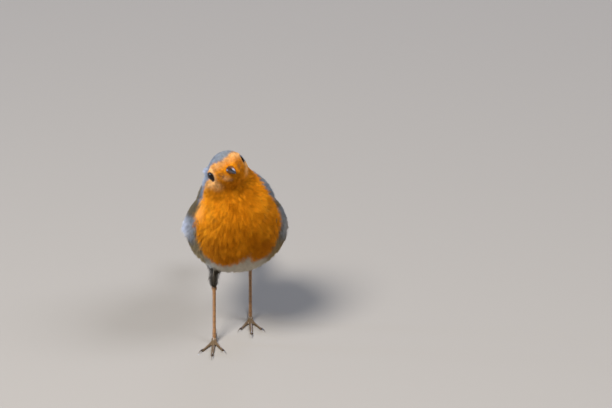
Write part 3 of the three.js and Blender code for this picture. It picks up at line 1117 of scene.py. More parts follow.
def in_thigh(points):
    """Whether places lie in the box of either thigh."""
    inside = np.zeros(len(points), bool)
    for side in SIDES:
        low, high = (np.array(corner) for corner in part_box("thigh_" + side))
        inside |= ((points > low - THIGH_MARGIN) & (points < high + THIGH_MARGIN)).all(axis=1)
    return inside


# %% [markdown]
# ## Where the coat grows
# The whole coat is scattered once over the skin. No tuft grows under a folded wing, where nothing
# of it would show, or on the bare lids. Each root is then placed in the head's and the trunk's
# frames, so that the colours can be told there.

# %% Roots of the coat
UNDER_WING = 0.6
WING_COVERS = (0.08, 0.6)
WING_OFF_SPINE = 12
HEAD_REACH = 14

roots, _ = scatter(skin_surface, coat_spacing, chance)
share, across = wing_spot(roots)
hidden = (share > WING_COVERS[0]) & (share < WING_COVERS[1]) & (np.abs(across) < UNDER_WING)
hidden &= np.abs(moved(roots, into_trunk)[:, 0]) > WING_OFF_SPINE
clear = (from_eye(roots)[0] > LID_RADIUS + 0.2) & ~hidden
roots = roots[clear]
depth = coat_depth(roots)
gather, central, light = clumped(skin_surface, roots, lambda points: 0.75 + 0.65 * coat_depth(points))
on_head = moved(roots, into_head)
on_trunk = moved(roots, into_trunk)
both_sides = np.column_stack([np.abs(on_head[:, 0]), on_head[:, 1:]])
angle = angle_round(on_trunk)
is_head = np.linalg.norm(on_head - [0, 4, -2], axis=1) < HEAD_REACH
is_thigh = in_thigh(roots)
print("tufts in all:", len(roots))

# %% [markdown]
# ## Markings and pale feathers
# A tuft takes its markings from a place a little to one side of its root, which makes the edge of
# the orange as ragged as feathers make it. The lores, between eye and bill, are darker. A whitish
# tuft stands out over the right eye. Paler orange rings the eyes and covers the forehead, the chin
# and the cheeks; on the cheeks it is partly their own paler feathers and partly painted light. One
# spot at the side of the breast is painted paler, as painted sunlight. Places are in millimetres
# in the head's frame, or in the trunk's for the breast.

# %% Markings and paleness of the coat
BROW_TUFT = (-8.4, 3.3, 3.8)
EAR_COVERTS = (-11, 4.2, -1.5)
DARK_LORES = (4.7, -8.2, -1.0)
PALE_CHIN = (-3.2, -8.9, -2.9)
# Pale cheeks: partly pale feathers, partly painted light.
PALE_AND_LIT_CHEEK = (8.2, -2.8, -4.4)
PALE_FRONT = (5.8, -4.4, 4.5)
# Painted sunlight on the side of the breast: paler and lighter feathers there.
PAINTED_SUNLIGHT = (-18.2, -27.2, 5.2)
PALE_SPOTS = [
    # frame, place, radius, how pale
    (on_head, PALE_CHIN, 2.6, 0.7),
    (both_sides, PALE_AND_LIT_CHEEK, 5.0, 0.9),
    (on_head, PALE_FRONT, 4.5, 1),
    (on_trunk, PAINTED_SUNLIGHT, 7, 0.6),
]
RAGGED = 0.4

brow = spot_of(on_head, BROW_TUFT, 3.4)
ear = spot_of(on_head, EAR_COVERTS, 5.0)
marks = markings(roots + chance.normal(0, RAGGED, roots.shape) * depth[:, None] * MM)
lores = spot_of(both_sides, DARK_LORES, 3.0) * smooth_step(speckle(roots, 0.8 * MM, 8.0), -0.4, 0.2)
marks = marks * (1 - 0.75 * lores[:, None]) * (1 - 0.8 * brow[:, None])
marks[:, 1] += 0.4 * brow
is_orange = marks[:, 0]
forehead = (1 - smooth_step(on_head[:, 1], -5, -1)) * smooth_step(on_head[:, 2], 0.5, 4) * is_head
eye_ring = 1 - smooth_step(from_eye(roots)[0], *PALE_EYE_RING)
pale = np.maximum(0.75 * eye_ring * (on_head[:, 1] > -7), 0.6 * forehead)
for places, middle, radius, amount in PALE_SPOTS:
    pale = np.maximum(pale, amount * spot_of(places, middle, radius))
pale = np.maximum(pale * is_orange, 1.1 * brow + 0.4 * ear)
print("share of the coat that is orange:", round(float(is_orange.mean()), 2))

# %% [markdown]
# ## Light and dark in the coat
# Feathers of one colour still differ, and the coat's tone also carries painted light and shade. The
# shoulders of the breast are painted lighter where light falls from above, and its middle darker in
# the head's shade. The lower breast is painted darker and deeper in colour, as it turns away from the
# light, and mottles a few millimetres across run through it all. Single lighter and darker patches
# are listed with their place, radius in mm and amount; on the breast and the bird's left cheek they
# are painted light and shade.

# %% Tones of the coat
SHADE_UNDER_CHIN = (0.9, -8.2, -5.8)
HEAD_TONES = [
    # The patch on the bird's left cheek is painted light, where it faces away from the key light.
    (BROW_TUFT, 3.4, 0.3), ((7.6, -3.4, -5.4), 5.0, 0.6), (PALE_FRONT, 4.5, 0.35),
    ((-3.8, -6.0, 3.5), 4.5, -0.25),
]
# Painted pools of light and shade on the breast, each with its place, radius in mm and amount.
BREAST_LIGHT_AND_SHADE = [
    (PAINTED_SUNLIGHT, 9, 0.3), ((0.8, -23.6, -15.1), 7, 0.5), ((12.1, -20.6, -12.5), 9, -0.45),
    ((-12.4, -18.5, -13.3), 8, -0.25), ((-0.8, -34.0, -5.0), 8, -0.22),
    ((2.6, -29.3, -10.9), 4.5, 0.35), ((-1.2, -27.7, -12.4), 4.5, 0.35),
    ((-5.0, -23.6, -14.5), 4.5, 0.4), ((-9.3, -25.0, -11.6), 5, -0.2),
    ((-8.0, -12.9, -17.8), 6, -0.2),
]
MOTTLE = 3.2
FACE_MOTTLE = 1.1

tone = tone_of(roots, light) + 0.22 * speckle(roots, MOTTLE * MM, 3.0)
off_middle = smooth_step(np.abs(on_trunk[:, 0]), 3, 10)
high = smooth_step(on_trunk[:, 2], -2, 4) * ~is_head
# Painted light on the upper sides of the breast, painted shade in its upper middle under the head.
tone += 0.3 * off_middle * high * is_orange - 0.12 * (1 - off_middle) * high
# Painted shade: the lower breast is darker, where it turns away from the light.
tone -= 0.3 * smooth_step(-on_trunk[:, 2], 3, 13) * is_orange
tone -= 0.14 * is_head * (on_head[:, 1] < -2) * is_orange
tone += is_head * 0.3 * speckle(roots, FACE_MOTTLE * MM, 5.0)
# Painted shade: the grey on the bird's right side is darkened where the eye light brightens it.
tone -= 0.35 * (angle < -80) * (is_orange < 0.5) * ~is_head
# Darker lores, and painted shade just under the chin.
tone -= 0.4 * lores + 0.35 * spot_of(both_sides, SHADE_UNDER_CHIN, 2.4)
for places, tones in ((on_head, HEAD_TONES), (on_trunk, BREAST_LIGHT_AND_SHADE)):
    for middle, radius, amount in tones:
        tone += amount * spot_of(places, middle, radius)
print("tones, lightest and darkest tenth:", np.percentile(tone, [90, 10]).round(2))

# %% [markdown]
# ## Pieces of the coat
# The length, rise and fan of a tuft follow the coat's depth at its root, so the face gets the
# smallest tufts. The coat is then shared out by region, because one mesh of it all would be too
# heavy to work with.

# %% Coat
coat = {
    "roots": roots,
    "length": (0.75 + 1.75 * depth) * (1 + 1.6 * brow),
    "rise": depth * (chance.uniform(0.74, 1.05, len(roots)) + 0.22 * central) + 4 * brow + 0.9 * ear,
    "fan": 0.24 + 0.3 * depth,
    "width": 0.06 + 0.02 * depth,
    "gather": gather,
    "marks": marks,
    "tone": np.clip(tone, 0, 1),
    "pale": np.clip(pale * chance.uniform(0.5, 1.2, len(roots)), 0, 1),
}
rest = ~is_head & ~is_thigh
orange = rest & (is_orange > 0.5)
other = rest & ~orange
around = np.abs(angle)
face = is_head & (on_head[:, 1] < 3)
breast = orange & (on_trunk[:, 1] >= -27)
side = other & (around >= 70) & (around < 125)
regions = {
    "coat_face_left": face & (on_head[:, 0] >= 0),
    "coat_face_right": face & (on_head[:, 0] < 0),
    "coat_nape": is_head & ~face,
    "coat_throat": orange & ~breast,
    "coat_breast_left": breast & (angle >= 0),
    "coat_breast_right": breast & (angle < 0),
    "coat_belly": other & (around < 70),
    "coat_side_left": side & (angle > 0),
    "coat_side_right": side & (angle < 0),
    "coat_back": other & (around >= 125),
}


def part_of(tufts, inside):
    return {key: rows[inside] for key, rows in tufts.items()}


for name, inside in regions.items():
    coat_piece(name, skin_surface, part_of(coat, inside), coat_material, chance)

# %% [markdown]
# ## Thighs
# Above the heel the leg wears short, close, dark brown feathers that lie down towards the heel.
# They are the same tufts in a darker finish.

# %% Thighs
THIGH_BROWN = 0x241B0D
thigh_material = plumage_material("dark_thigh_feathers", THIGH_BROWN, 0.4)
thighs = part_of(coat, is_thigh)
thighs["marks"] = thighs["marks"] * 0.1
thighs["pale"] = thighs["pale"] * 0
heel_height = min(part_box("thigh_" + side)[0].z for side in SIDES)
above_heel = (thighs["roots"][:, 2] - heel_height) / MM
near_heel = smooth_step(above_heel, 0, 1) * (1 - smooth_step(above_heel, 5, 9))
thighs["rise"] = thighs["rise"] * 1.35 + 0.5 * near_heel
coat_piece("coat_thighs", skin_surface, thighs, thigh_material, chance)

# %% [markdown]
# ## Feathers over the wing's front and edges
# On a resting robin the wing's bend lies buried in breast-side feathers, shoulder feathers fall
# over its upper edge and flank feathers over its lower one. These tufts grow on a form that wraps
# body and wings together. It is swollen, remeshed and shrunk again, which closes the groove
# between the wing and the body, just as the real feathers do.

# %% Form under the covering feathers
CLOSING = 1.5
COVER_IN = 0.7
COVER_VOXEL = 0.8

cover_form = merged_copy("cover_form", "neck", "trunk", "wing_left", "wing_right")
apply_modifier(cover_form, "DISPLACE", strength=CLOSING * MM, mid_level=0)
apply_modifier(cover_form, "REMESH", mode="VOXEL", voxel_size=COVER_VOXEL * MM)
apply_modifier(cover_form, "SMOOTH", factor=0.5, iterations=6)
cover_points = points_of(cover_form) - normals_of(cover_form) * (CLOSING + COVER_IN) * MM
move_points(cover_form, tucked(cover_points))
apply_modifier(cover_form, "SMOOTH", factor=0.5, iterations=6)
edit_all(cover_form, bpy.ops.uv.smart_project, **UNWRAP)
cover_surface = Surface(cover_form)
bpy.data.objects.remove(cover_form)
print("triangles under the covering feathers:", len(cover_surface.triangles))

# %% [markdown]
# ## Covering tufts
# The tufts grow over the wing's bend and along the front of its upper and lower edges, thinning
# out where they end. The orange ones of the breast side lap over the wing, then come grey ones. On
# the right wing a few have come loose and stand out pale, as a ruffled wing shows them. These
# tufts are long, so on that side their colours are read as far back as their tips reach.

# %% Feathers over the wings
SIDE_SPACING = 0.42
TIP_REACH = 3.2 * MM
SIDE_LENGTH = (3.6, 5.2)
SIDE_FAN = 0.85
SIDE_WIDTH = 0.1
LOOSE_RISE = 1.5

spots, _ = scatter(cover_surface, lambda points: np.full(len(points), SIDE_SPACING), chance)
share, across = wing_spot(spots)
off_spine = np.abs(moved(spots, into_trunk)[:, 0])
bend = smooth_step(share, -0.16, -0.08) * (1 - smooth_step(share - 0.05 * across, 0.16, 0.36))
bend *= 1 - smooth_step(np.abs(across), 1.2, 1.5)
top = bump(across, 1.0, 0.55) * smooth_step(share, -0.1, 0.0) * (1 - smooth_step(share, 0.35, 0.66))
low = bump(across, -1.15, 0.5) * smooth_step(share, -0.1, 0.0) * (1 - smooth_step(share, 0.3, 0.5))
kept = (np.maximum(np.maximum(bend, top), low) > chance.random(len(spots))) & (off_spine > 8)
spots, share, across = spots[kept], share[kept], across[kept]
count = len(spots)
print("tufts over the wings:", count)
gather, central, light = clumped(cover_surface, spots, lambda points: np.full(len(points), 2.0))
on_side = moved(spots, into_trunk)
on_right = on_side[:, 0] < 0
tips = spots + np.array(spine_turn.col[1]) * on_right[:, None] * TIP_REACH
marks = markings(tips + chance.normal(0, 0.7, spots.shape) * MM)
orange = marks[:, :1]
front = (1 - smooth_step(share, 0.2, 0.34)) * smooth_step(across, -1.2, -0.7)
front_top = np.where(on_right, 0.0, 0.7)
front *= 1 - smooth_step(across - front_top, 0, 0.4)
pale_patch = bump(share, 0.24, 0.2) * bump(across, -0.36, 0.6) * np.where(on_right, 1, 0.5)
loose = bump(share, 0.21, 0.19) * bump(across, -0.32, 0.58) * on_right
dark_edge = on_right * smooth_step(across, 0.0, 0.3) * (1 - smooth_step(share, 0.15, 0.3))
low_edge = 1 - smooth_step(across, -1.3, -0.8)
side_marks = np.stack(
    [front * 0, front * (1 - 0.6 * pale_patch) * 0.9, 0.75 * pale_patch + 0.06, 0.5 * low_edge], axis=1
)
marks = np.concatenate([orange, side_marks[:, 1:] * (1 - orange)], axis=1)
orange = orange[:, 0]
side_tone = tone_of(spots, light) + 0.16 * speckle(spots, MOTTLE * MM, 3.0)
# Painted light: the upper orange covering tufts are lighter where light falls from above, and the painted
# sunlight of the breast reaches them too.
side_tone += 0.35 * orange * smooth_step(on_side[:, 2], -2, 4)
side_tone += 0.25 * orange * spot_of(on_side, PAINTED_SUNLIGHT, 9)
side_tone -= (1 - orange) * (0.4 * dark_edge + 0.2 * on_right)
side_pale = loose * (0.55 + 0.7 * speckle(spots, 0.9 * MM, 4.0)) + 0.15 * pale_patch
side_pale += 0.3 * orange * spot_of(on_side, PAINTED_SUNLIGHT, 7)
stands_out = 0.4 * pale_patch + LOOSE_RISE * loose
side_coat = {
    "roots": spots,
    "length": chance.uniform(*SIDE_LENGTH, count),
    "rise": COVER_IN * (chance.uniform(0.8, 1.5, count) + 0.4 * central) + stands_out,
    "fan": np.full(count, SIDE_FAN),
    "width": np.full(count, SIDE_WIDTH),
    "gather": gather,
    "marks": marks,
    "tone": np.clip(side_tone, 0, 1),
    "pale": np.clip(side_pale, 0, 1),
}
for side, sign in SIDES.items():
    tufts = part_of(side_coat, on_side[:, 0] * sign > 0)
    coat_piece("coat_over_wing_" + side, cover_surface, tufts, coat_material, chance)

# %% [markdown]
# ## Vane feathers
# The wing and tail show firm feathers: a shaft with a flat vane on each side. One vane is modelled
# as a grid, with the shaft's ridge down its middle. Every feather is a copy of it, laid out by its
# base, its tip and its width. Walls are added at the end, because a real vane has a thickness.

# %% One vane
VANE_COLUMNS = 8
VANE_ROWS = 16
POINTED = [0.5, 0.75, 0.92, 1, 0.98, 0.9, 0.74, 0.5, 0.1]
ROUNDED = [0.4, 0.72, 0.92, 1, 1, 0.98, 0.9, 0.7, 0.25]
VANE_THICK = 0.1
VANE_CAMBER = 0.22
SHAFT_RIDGE = 0.09

pick(floor)
bpy.ops.mesh.primitive_grid_add(x_subdivisions=VANE_COLUMNS, y_subdivisions=VANE_ROWS, size=2)
vane = bpy.context.object
vane.name = "vane"
vane_spots = points_of(vane)[:, :2]
vane_faces = np.array([list(face.vertices) for face in vane.data.polygons])
bpy.data.objects.remove(vane)


def vane_shape(outline, narrow_outer):
    """Where a vane's points lie: along (0 to 1), across (-1 to 1), and how much they rise."""
    along = (vane_spots[:, 1] + 1) / 2
    across = vane_spots[:, 0] * stations(outline, along)
    across = np.where(across > 0, across * narrow_outer, across)
    rise = VANE_CAMBER * (1 - vane_spots[:, 0] ** 2) + SHAFT_RIDGE * (np.abs(vane_spots[:, 0]) < 0.1)
    tip_round = 0.05 * np.abs(vane_spots[:, 0]) ** 2 * along**6
    return along - tip_round, across, rise


def feathers_piece(name, layers, material, slot, node, flip):
    """Joins laid-out feathers, each told by its places, and its tone, pale tip and olive share."""
    count = len(layers)
    corners = np.concatenate([places for places, _ in layers])
    size = len(vane_spots)
    faces = (vane_faces[None] + np.arange(count)[:, None, None] * size).reshape(-1, 4)
    if flip:
        faces = faces[:, ::-1]
    mesh = bpy.data.meshes.new(name)
    mesh.from_pydata(corners.tolist(), [], faces.tolist())
    tones = np.array([tone for _, tone in layers])
    store_colour(mesh, "feather", np.repeat(tones, size, axis=0))
    cells = math.ceil(math.sqrt(count))
    flat = (vane_spots + 1) / 2
    cell = np.stack([np.arange(count) % cells, np.arange(count) // cells], axis=1)
    on_sheet = (cell[:, None, :] + 0.04 + 0.92 * flat[None]) / cells
    for title, rows in (("OFBake", on_sheet.reshape(-1, 2)), ("vane", np.tile(flat, (count, 1)))):
        layer = mesh.uv_layers.new(name=title)
        layer.data.foreach_set("uv", rows[faces.ravel()].astype(np.float32).ravel())
    piece = new_piece(name, mesh)
    apply_modifier(piece, "SOLIDIFY", thickness=VANE_THICK * MM, offset=-1)
    hand_over(piece, material, slot, node)
    print(name, "vanes:", count, "faces:", len(piece.data.polygons))


# %% [markdown]
# ## Vane material
# A vane is hundreds of barbs hooked together, made of keratin: matt to satin, with fine slanting
# lines. Real barbs stand about 0.3 mm apart, too fine to show, so on the long feathers they are
# drawn two to three times as far apart. On a robin the hidden inner web is dark brown, the outer
# web is edged with olive, the shaft is nearly black, and some of the larger coverts end in a small
# buff spot.

# %% Vane material
VANE_BROWN = 0x4A3E34
VANE_OLIVE = 0x6E5F44
SHAFT = 0x2B211A
TIP_BUFF = 0xC79A5B
BARB_LINES = 60
BARB_SLANT = -0.55

flight_material, flight_shader = new_material(
    "flight_feather_keratin", Roughness=0.65, Specular_IOR_Level=0.2, Sheen_Weight=0.03,
    Sheen_Roughness=0.5
)


flat = add_node(flight_material, "ShaderNodeUVMap", uv_map="vane")
spot = add_node(flight_material, "ShaderNodeSeparateXYZ", {"Vector": flat.outputs["UV"]})
across, along = spot.outputs["X"], spot.outputs["Y"]
feather = add_node(flight_material, "ShaderNodeAttribute", attribute_name="feather")
feather = {"Color": feather.outputs["Color"]}
feather = add_node(flight_material, "ShaderNodeSeparateColor", feather).outputs
off_shaft = {0: across, 1: 0.5}
off_shaft = add_node(flight_material, "ShaderNodeMath", off_shaft, operation="SUBTRACT")
off_shaft = {0: off_shaft.outputs["Value"]}
off_shaft = add_node(flight_material, "ShaderNodeMath", off_shaft, operation="ABSOLUTE")
off_shaft = off_shaft.outputs["Value"]
slant = {0: off_shaft, 1: BARB_SLANT, 2: along}
slant = add_node(flight_material, "ShaderNodeMath", slant, operation="MULTIPLY_ADD")
barbs = {0: slant.outputs["Value"], 1: BARB_LINES * 2 * math.pi}
barbs = add_node(flight_material, "ShaderNodeMath", barbs, operation="MULTIPLY")
barbs = {0: barbs.outputs["Value"]}
barbs = add_node(flight_material, "ShaderNodeMath", barbs, operation="SINE").outputs["Value"]
ranges = {
    # what is read, its two ends, and what they become
    "edge": (across, 0.72, 0.9, 0, 1),
    "tip": (along, 0.8, 0.95, 0, 1),
    "shaft": (off_shaft, 0.018, 0.04, 0.8, 0),
    "lines": (barbs, -1, 1, 0.8, 1.1),
    "tone": (feather["Red"], 0, 1, 0.4, 1.2),
}
for name, (value, start, end, first, last) in ranges.items():
    ends = {"Value": value, "From Min": start, "From Max": end, "To Min": first, "To Max": last}
    ends = add_node(flight_material, "ShaderNodeMapRange", ends)
    ranges[name] = ends.outputs["Result"]
olive = {0: ranges["edge"], 1: feather["Blue"]}
olive = add_node(flight_material, "ShaderNodeMath", olive, operation="ADD", use_clamp=True)
tip_spot = {0: ranges["tip"], 1: feather["Green"]}
tip_spot = add_node(flight_material, "ShaderNodeMath", tip_spot, operation="MULTIPLY")
colour = linear(VANE_BROWN)
for share, over in (
    (olive.outputs["Value"], VANE_OLIVE), (tip_spot.outputs["Value"], TIP_BUFF),
    (ranges["shaft"], SHAFT),
):
    layer = {0: share, 6: colour, 7: linear(over)}
    colour = add_node(flight_material, "ShaderNodeMix", layer, **LAYER).outputs[2]
value = {0: ranges["lines"], 1: ranges["tone"]}
value = add_node(flight_material, "ShaderNodeMath", value, operation="MULTIPLY")
varied = {"Color": colour, "Value": value.outputs["Value"]}
varied = add_node(flight_material, "ShaderNodeHueSaturation", varied)
link(flight_material, varied.outputs["Color"], flight_shader, "Base Color")
relief = {"Height": barbs, "Strength": 0.25, "Distance": 0.05 * MM}
relief = add_node(flight_material, "ShaderNodeBump", relief)
link(flight_material, relief.outputs["Normal"], flight_shader, "Normal")
print("nodes in the vane material:", len(flight_material.node_tree.nodes))

# %% [markdown]
# ## Folded wings
# When a wing folds, its feathers close like a fan. The tertials lie on top, the secondaries and
# then the primaries slide under them, and only the outer edge of each still shows. Rows of coverts
# tile the front, larger row by row. Each row below is told by its first and last feather: base and
# tip as shares along and across the wing, half-width in mm, and depth in the leaf. One broad dark
# sheet lies under them all, so that nothing shows between two feathers.

# %% Wings
WING_ROWS = [
    # count, first base, last base, first tip, last tip, half-width, depths, outline, outer web,
    # pale tip, olive
    (8, (0.22, -0.8), (0.24, -0.4), (0.995, 0.0), (0.70, 0.7), 2.7, (0.74, 0.6), POINTED, 0.8, 0.0, 0.0),
    (6, (0.22, -0.45), (0.24, 0.15), (0.69, 0.15), (0.62, 0.7), 3.0, (0.58, 0.46), ROUNDED, 0.85, 0.0, 0.1),
    (3, (0.26, 0.2), (0.24, 0.62), (0.66, 0.55), (0.48, 0.88), 3.6, (0.42, 0.26), ROUNDED, 1.0, 0.1, 0.25),
    (5, (0.08, -0.9), (0.1, -0.6), (0.37, -0.93), (0.33, -0.62), 1.8, (0.5, 0.42), POINTED, 1.0, 0.0, 0.1),
    (3, (0.05, -0.8), (0.07, -0.7), (0.27, -0.97), (0.2, -0.8), 1.5, (0.4, 0.32), POINTED, 1.0, 0.0, 0.2),
    (9, (0.12, -0.62), (0.14, 0.85), (0.38, -0.55), (0.36, 0.88), 2.5, (0.36, 0.24), ROUNDED, 1.0, 0.9, 0.35),
    (8, (0.07, -0.78), (0.08, 0.88), (0.235, -0.72), (0.23, 0.88), 2.2, (0.2, 0.12), ROUNDED, 1.0, 0.25, 0.6),
    (8, (0.03, -0.8), (0.04, 0.85), (0.16, -0.78), (0.16, 0.85), 2.0, (0.1, 0.06), ROUNDED, 1.0, 0.0, 0.8),
    (7, (0.0, -0.7), (0.0, 0.75), (0.1, -0.72), (0.1, 0.8), 1.9, (0.04, 0.0), ROUNDED, 1.0, 0.0, 0.85),
]
LINING_DEPTH = 0.9
LINING_SPAN = 0.86
LINING_START = 0.03
LINING_REACH = 0.9
UNEVEN = 0.006


def between(first, last, step):
    return np.array(first) * (1 - step) + np.array(last) * step


for side, form in wing_forms.items():
    share = LINING_START + (LINING_REACH - LINING_START) * (vane_spots[:, 1] + 1) / 2
    height = wing_middle(share) - LINING_SPAN * vane_spots[:, 0] * wing_half(share)
    layers = [(form.place(share, height, LINING_DEPTH), (0.3, 0.0, 0.0, 1))]
    for count, base0, base1, tip0, tip1, half, depths, outline, outer, pale, olive in WING_ROWS:
        along, across, rise = vane_shape(outline, outer)
        for index in range(count):
            step = index / (count - 1)
            base = between(base0, base1, step) + chance.normal(0, UNEVEN, 2)
            tip = between(tip0, tip1, step) + chance.normal(0, UNEVEN, 2)
            share = base[0] + (tip[0] - base[0]) * along
            spot = base[1] + (tip[1] - base[1]) * along
            height = wing_middle(share) + spot * wing_half(share) - across * half
            low_edge = wing_middle(share) - wing_half(share)
            high_edge = wing_middle(share) + wing_half(share)
            height = np.clip(height, low_edge, high_edge)
            depth_here = depths[0] + (depths[1] - depths[0]) * step
            places = form.place(share, height, depth_here, rise - VANE_CAMBER)
            layers.append((places, (0.3 + 0.7 * chance.random(), pale, olive, 1)))
    feathers_piece(
        "wing_feathers_" + side, layers, flight_material, "wing_feathers", "wing_" + side,
        side == "left"
    )

# %% [markdown]
# ## Tail
# Twelve feathers, six to a side, close like a hand of cards with the middle pair on top. Their
# tips make a shallow notch. The plate in the solid model gives the tail's line, width and slope.

# %% Tail
TAIL_PAIRS = 6
TAIL_LENGTH = 50
TAIL_BURIED = 4
TAIL_HALF_WIDTH = 10
FEATHER_HALF = 3.3
TAIL_WIDTHS = [0.5, 0.58, 0.74, 0.92, 1]
TAIL_SPREAD = 0.68
TAIL_NOTCH = 3.0
TAIL_ARCH = 1.6
TAIL_STACK = 0.13
TAIL_BELOW_TOP = 0.35

tail_points = node_points("tail")
spread = np.linalg.svd(tail_points - tail_points.mean(axis=0), full_matrices=False)[2]
tail_back = Vector(spread[0]) * (1 if spread[0][1] > 0 else -1)
tail_up = Vector(spread[2]) * (1 if spread[2][2] > 0 else -1)
tail_left = tail_back.cross(tail_up)
out_of_tail = frame_matrix(Vector(tail_points.mean(axis=0)), tail_left, tail_back, tail_up).inverted()
on_tail = moved(tail_points, out_of_tail.inverted())
tail_end = on_tail[:, 1].max()
tail_top = on_tail[:, 2].max()
print("tail plate, mm:", on_tail.min(axis=0).round(1), on_tail.max(axis=0).round(1))
layers = []
for pair in range(TAIL_PAIRS):
    for sign in (1, -1):
        offset = sign * (0.06 + pair * 0.62 / (TAIL_PAIRS - 1))
        along, across, rise = vane_shape(ROUNDED, 1.0)
        notch = TAIL_NOTCH * (1 - abs(offset) / TAIL_SPREAD)
        length = TAIL_LENGTH + TAIL_BURIED - notch
        back = tail_end - TAIL_LENGTH - TAIL_BURIED + length * along
        widths = stations(TAIL_WIDTHS, along) * TAIL_HALF_WIDTH
        left = offset * widths + sign * across * FEATHER_HALF
        left = np.clip(left, -widths, widths)
        arch = TAIL_ARCH * (left / TAIL_HALF_WIDTH) ** 2
        top = tail_top - TAIL_BELOW_TOP - arch - TAIL_STACK * pair + (rise - VANE_CAMBER)
        places = moved(np.stack([left, back, top], axis=1), out_of_tail)
        if sign < 0:
            places = places[np.lexsort((vane_spots[:, 0], vane_spots[:, 1]))]
        layers.append((places, (0.3 * chance.random(), 0.0, 0.12 + 0.3 * (pair == 0), 1)))
feathers_piece("tail_feathers", layers, flight_material, "tail_feathers", "tail", False)

# %% [markdown]
# ## Legs and feet
# A robin's leg is bare below the heel: thin, springy and pinkish brown. A long smooth plate covers
# the front of the shank with faint joints, and the toes carry short plates above and pads below.
# The solid's shank and foot are copied, remeshed finely as one, and the plates are raised from
# that mesh by a rule, because they are real relief and not paint.

# %% Legs and feet
LEG_VOXEL = 0.2
PLATE_ON_SHANK = 2.6
PLATE_ON_TOE = 1.05
PLATE_RELIEF = 0.07
LEG_PINK = 0xA87B4E
LEG_BROWN = 0x72502F
TOE_GREY = 0x6A573F
JOINT_BROWN = 0x3E3026
BLOTCH_SIZE = 1.43
LEG_GRAIN = 0.25

leg_material, leg_shader = new_material("horny_leg_scales", Roughness=0.36, Specular_IOR_Level=0.5)
plates = add_node(leg_material, "ShaderNodeAttribute", attribute_name="scales")
plates = add_node(leg_material, "ShaderNodeSeparateColor", {"Color": plates.outputs["Color"]})
leg_place = add_node(leg_material, "ShaderNodeTexCoord").outputs["Object"]
blotch = {"Vector": leg_place, "Scale": 1 / (BLOTCH_SIZE * MM), "Detail": 4.0}
blotch = add_node(leg_material, "ShaderNodeTexNoise", blotch)
leg_colour = linear(LEG_BROWN)
for share, over in (
    (blotch.outputs["Fac"], LEG_PINK), (plates.outputs["Green"], TOE_GREY),
    (plates.outputs["Red"], JOINT_BROWN),
):
    layer = {0: share, 6: leg_colour, 7: linear(over)}
    leg_colour = add_node(leg_material, "ShaderNodeMix", layer, **LAYER).outputs[2]
link(leg_material, leg_colour, leg_shader, "Base Color")
grain = {"Vector": leg_place, "Scale": 1 / (LEG_GRAIN * MM)}
grain = add_node(leg_material, "ShaderNodeTexNoise", grain)
grain = {"Height": grain.outputs["Fac"], "Strength": 0.2, "Distance": 0.03 * MM}
leg_bump = add_node(leg_material, "ShaderNodeBump", grain)
link(leg_material, leg_bump.outputs["Normal"], leg_shader, "Normal")

for side in SIDES:
    leg = merged_copy("leg_" + side, "tarsus_" + side, "foot_" + side)
    apply_modifier(leg, "DISPLACE", strength=CUT_HALF * MM, mid_level=0)
    apply_modifier(leg, "REMESH", mode="VOXEL", voxel_size=LEG_VOXEL * MM)
    apply_modifier(leg, "SMOOTH", factor=0.5, iterations=8)
    places, facing = points_of(leg), normals_of(leg)
    foot_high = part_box("foot_" + side)[1]
    shin = node_points("tarsus_" + side)
    ankle = Vector(shin[np.argmin(shin[:, 2])])
    above = (places[:, 2] - foot_high.z) / MM
    on_shank = smooth_step(above, -0.6, 0.6)
    outwards = np.linalg.norm((places - np.array(ankle))[:, :2], axis=1) / MM
    wave = np.where(above > 0, places[:, 2] / MM / PLATE_ON_SHANK, outwards / PLATE_ON_TOE) % 1
    front = smooth_step(-facing[:, 1], 0.0, 0.6)
    front = np.where(above > 0, front, smooth_step(facing[:, 2], 0.0, 0.5))
    step = (wave**2 * 0.9 - 0.3) * front
    relief = PLATE_RELIEF * step * np.where(above > 0, 0.7, 1.0)
    places = places + facing * ((relief - CUT_HALF * 0.9)[:, None] * MM)
    places[:, 2] = np.maximum(places[:, 2], cad_low.z)
    move_points(leg, places)
    joint_line = smooth_step(wave, 0.86, 0.97) * front * 0.75
    sole = 1 - smooth_step(places[:, 2] / MM, 0.1, 0.6)
    scales = [np.maximum(joint_line, sole * 0.5), 1 - on_shank, sole, np.ones(len(places))]
    store_colour(leg.data, "scales", np.stack(scales, axis=1))
    hand_over(leg, leg_material, "leg_scales", "tarsus_" + side, "foot_" + side)
    print("leg", side, "faces:", len(leg.data.polygons))

# %% [markdown]
# ## Claws
# Each claw is a curved, pointed sheath of dark horn, deeper than it is wide. It starts as a capped
# tube whose long edges are cut into rings, so that it can bend. Horn is keratin like the feathers,
# but solid, so it is darker and glossier, with faint growth streaks about a millimetre across.

# %% Horn and tubes
CLAW_BURIED = 0.8
CLAW_SIDES = 16
CLAW_RINGS = 14
HORN_BLACK = 0x2A211D
HORN_BROWN = 0x584638
CLAW_STREAK = 0.83


def horn_material(name, dark, light, streak_size):
    """Keratin sheath: satin, nearly black, with faint growth streaks."""
    material, shader = new_material(
        name, Roughness=0.3, Specular_IOR_Level=0.5, Coat_Weight=0.2, Coat_Roughness=0.1
    )
    place = add_node(material, "ShaderNodeTexCoord").outputs["Object"]
    streak = {"Vector": place, "Scale": 1 / (streak_size * MM), "Detail": 4.0}
    streak = add_node(material, "ShaderNodeTexNoise", streak).outputs["Fac"]
    colour = {0: streak, 6: linear(dark), 7: linear(light)}
    colour = add_node(material, "ShaderNodeMix", colour, **LAYER)
    link(material, colour.outputs[2], shader, "Base Color")
    relief = {"Height": streak, "Strength": 0.15, "Distance": 0.05 * MM}
    relief = add_node(material, "ShaderNodeBump", relief)
    link(material, relief.outputs["Normal"], shader, "Normal")
    return material


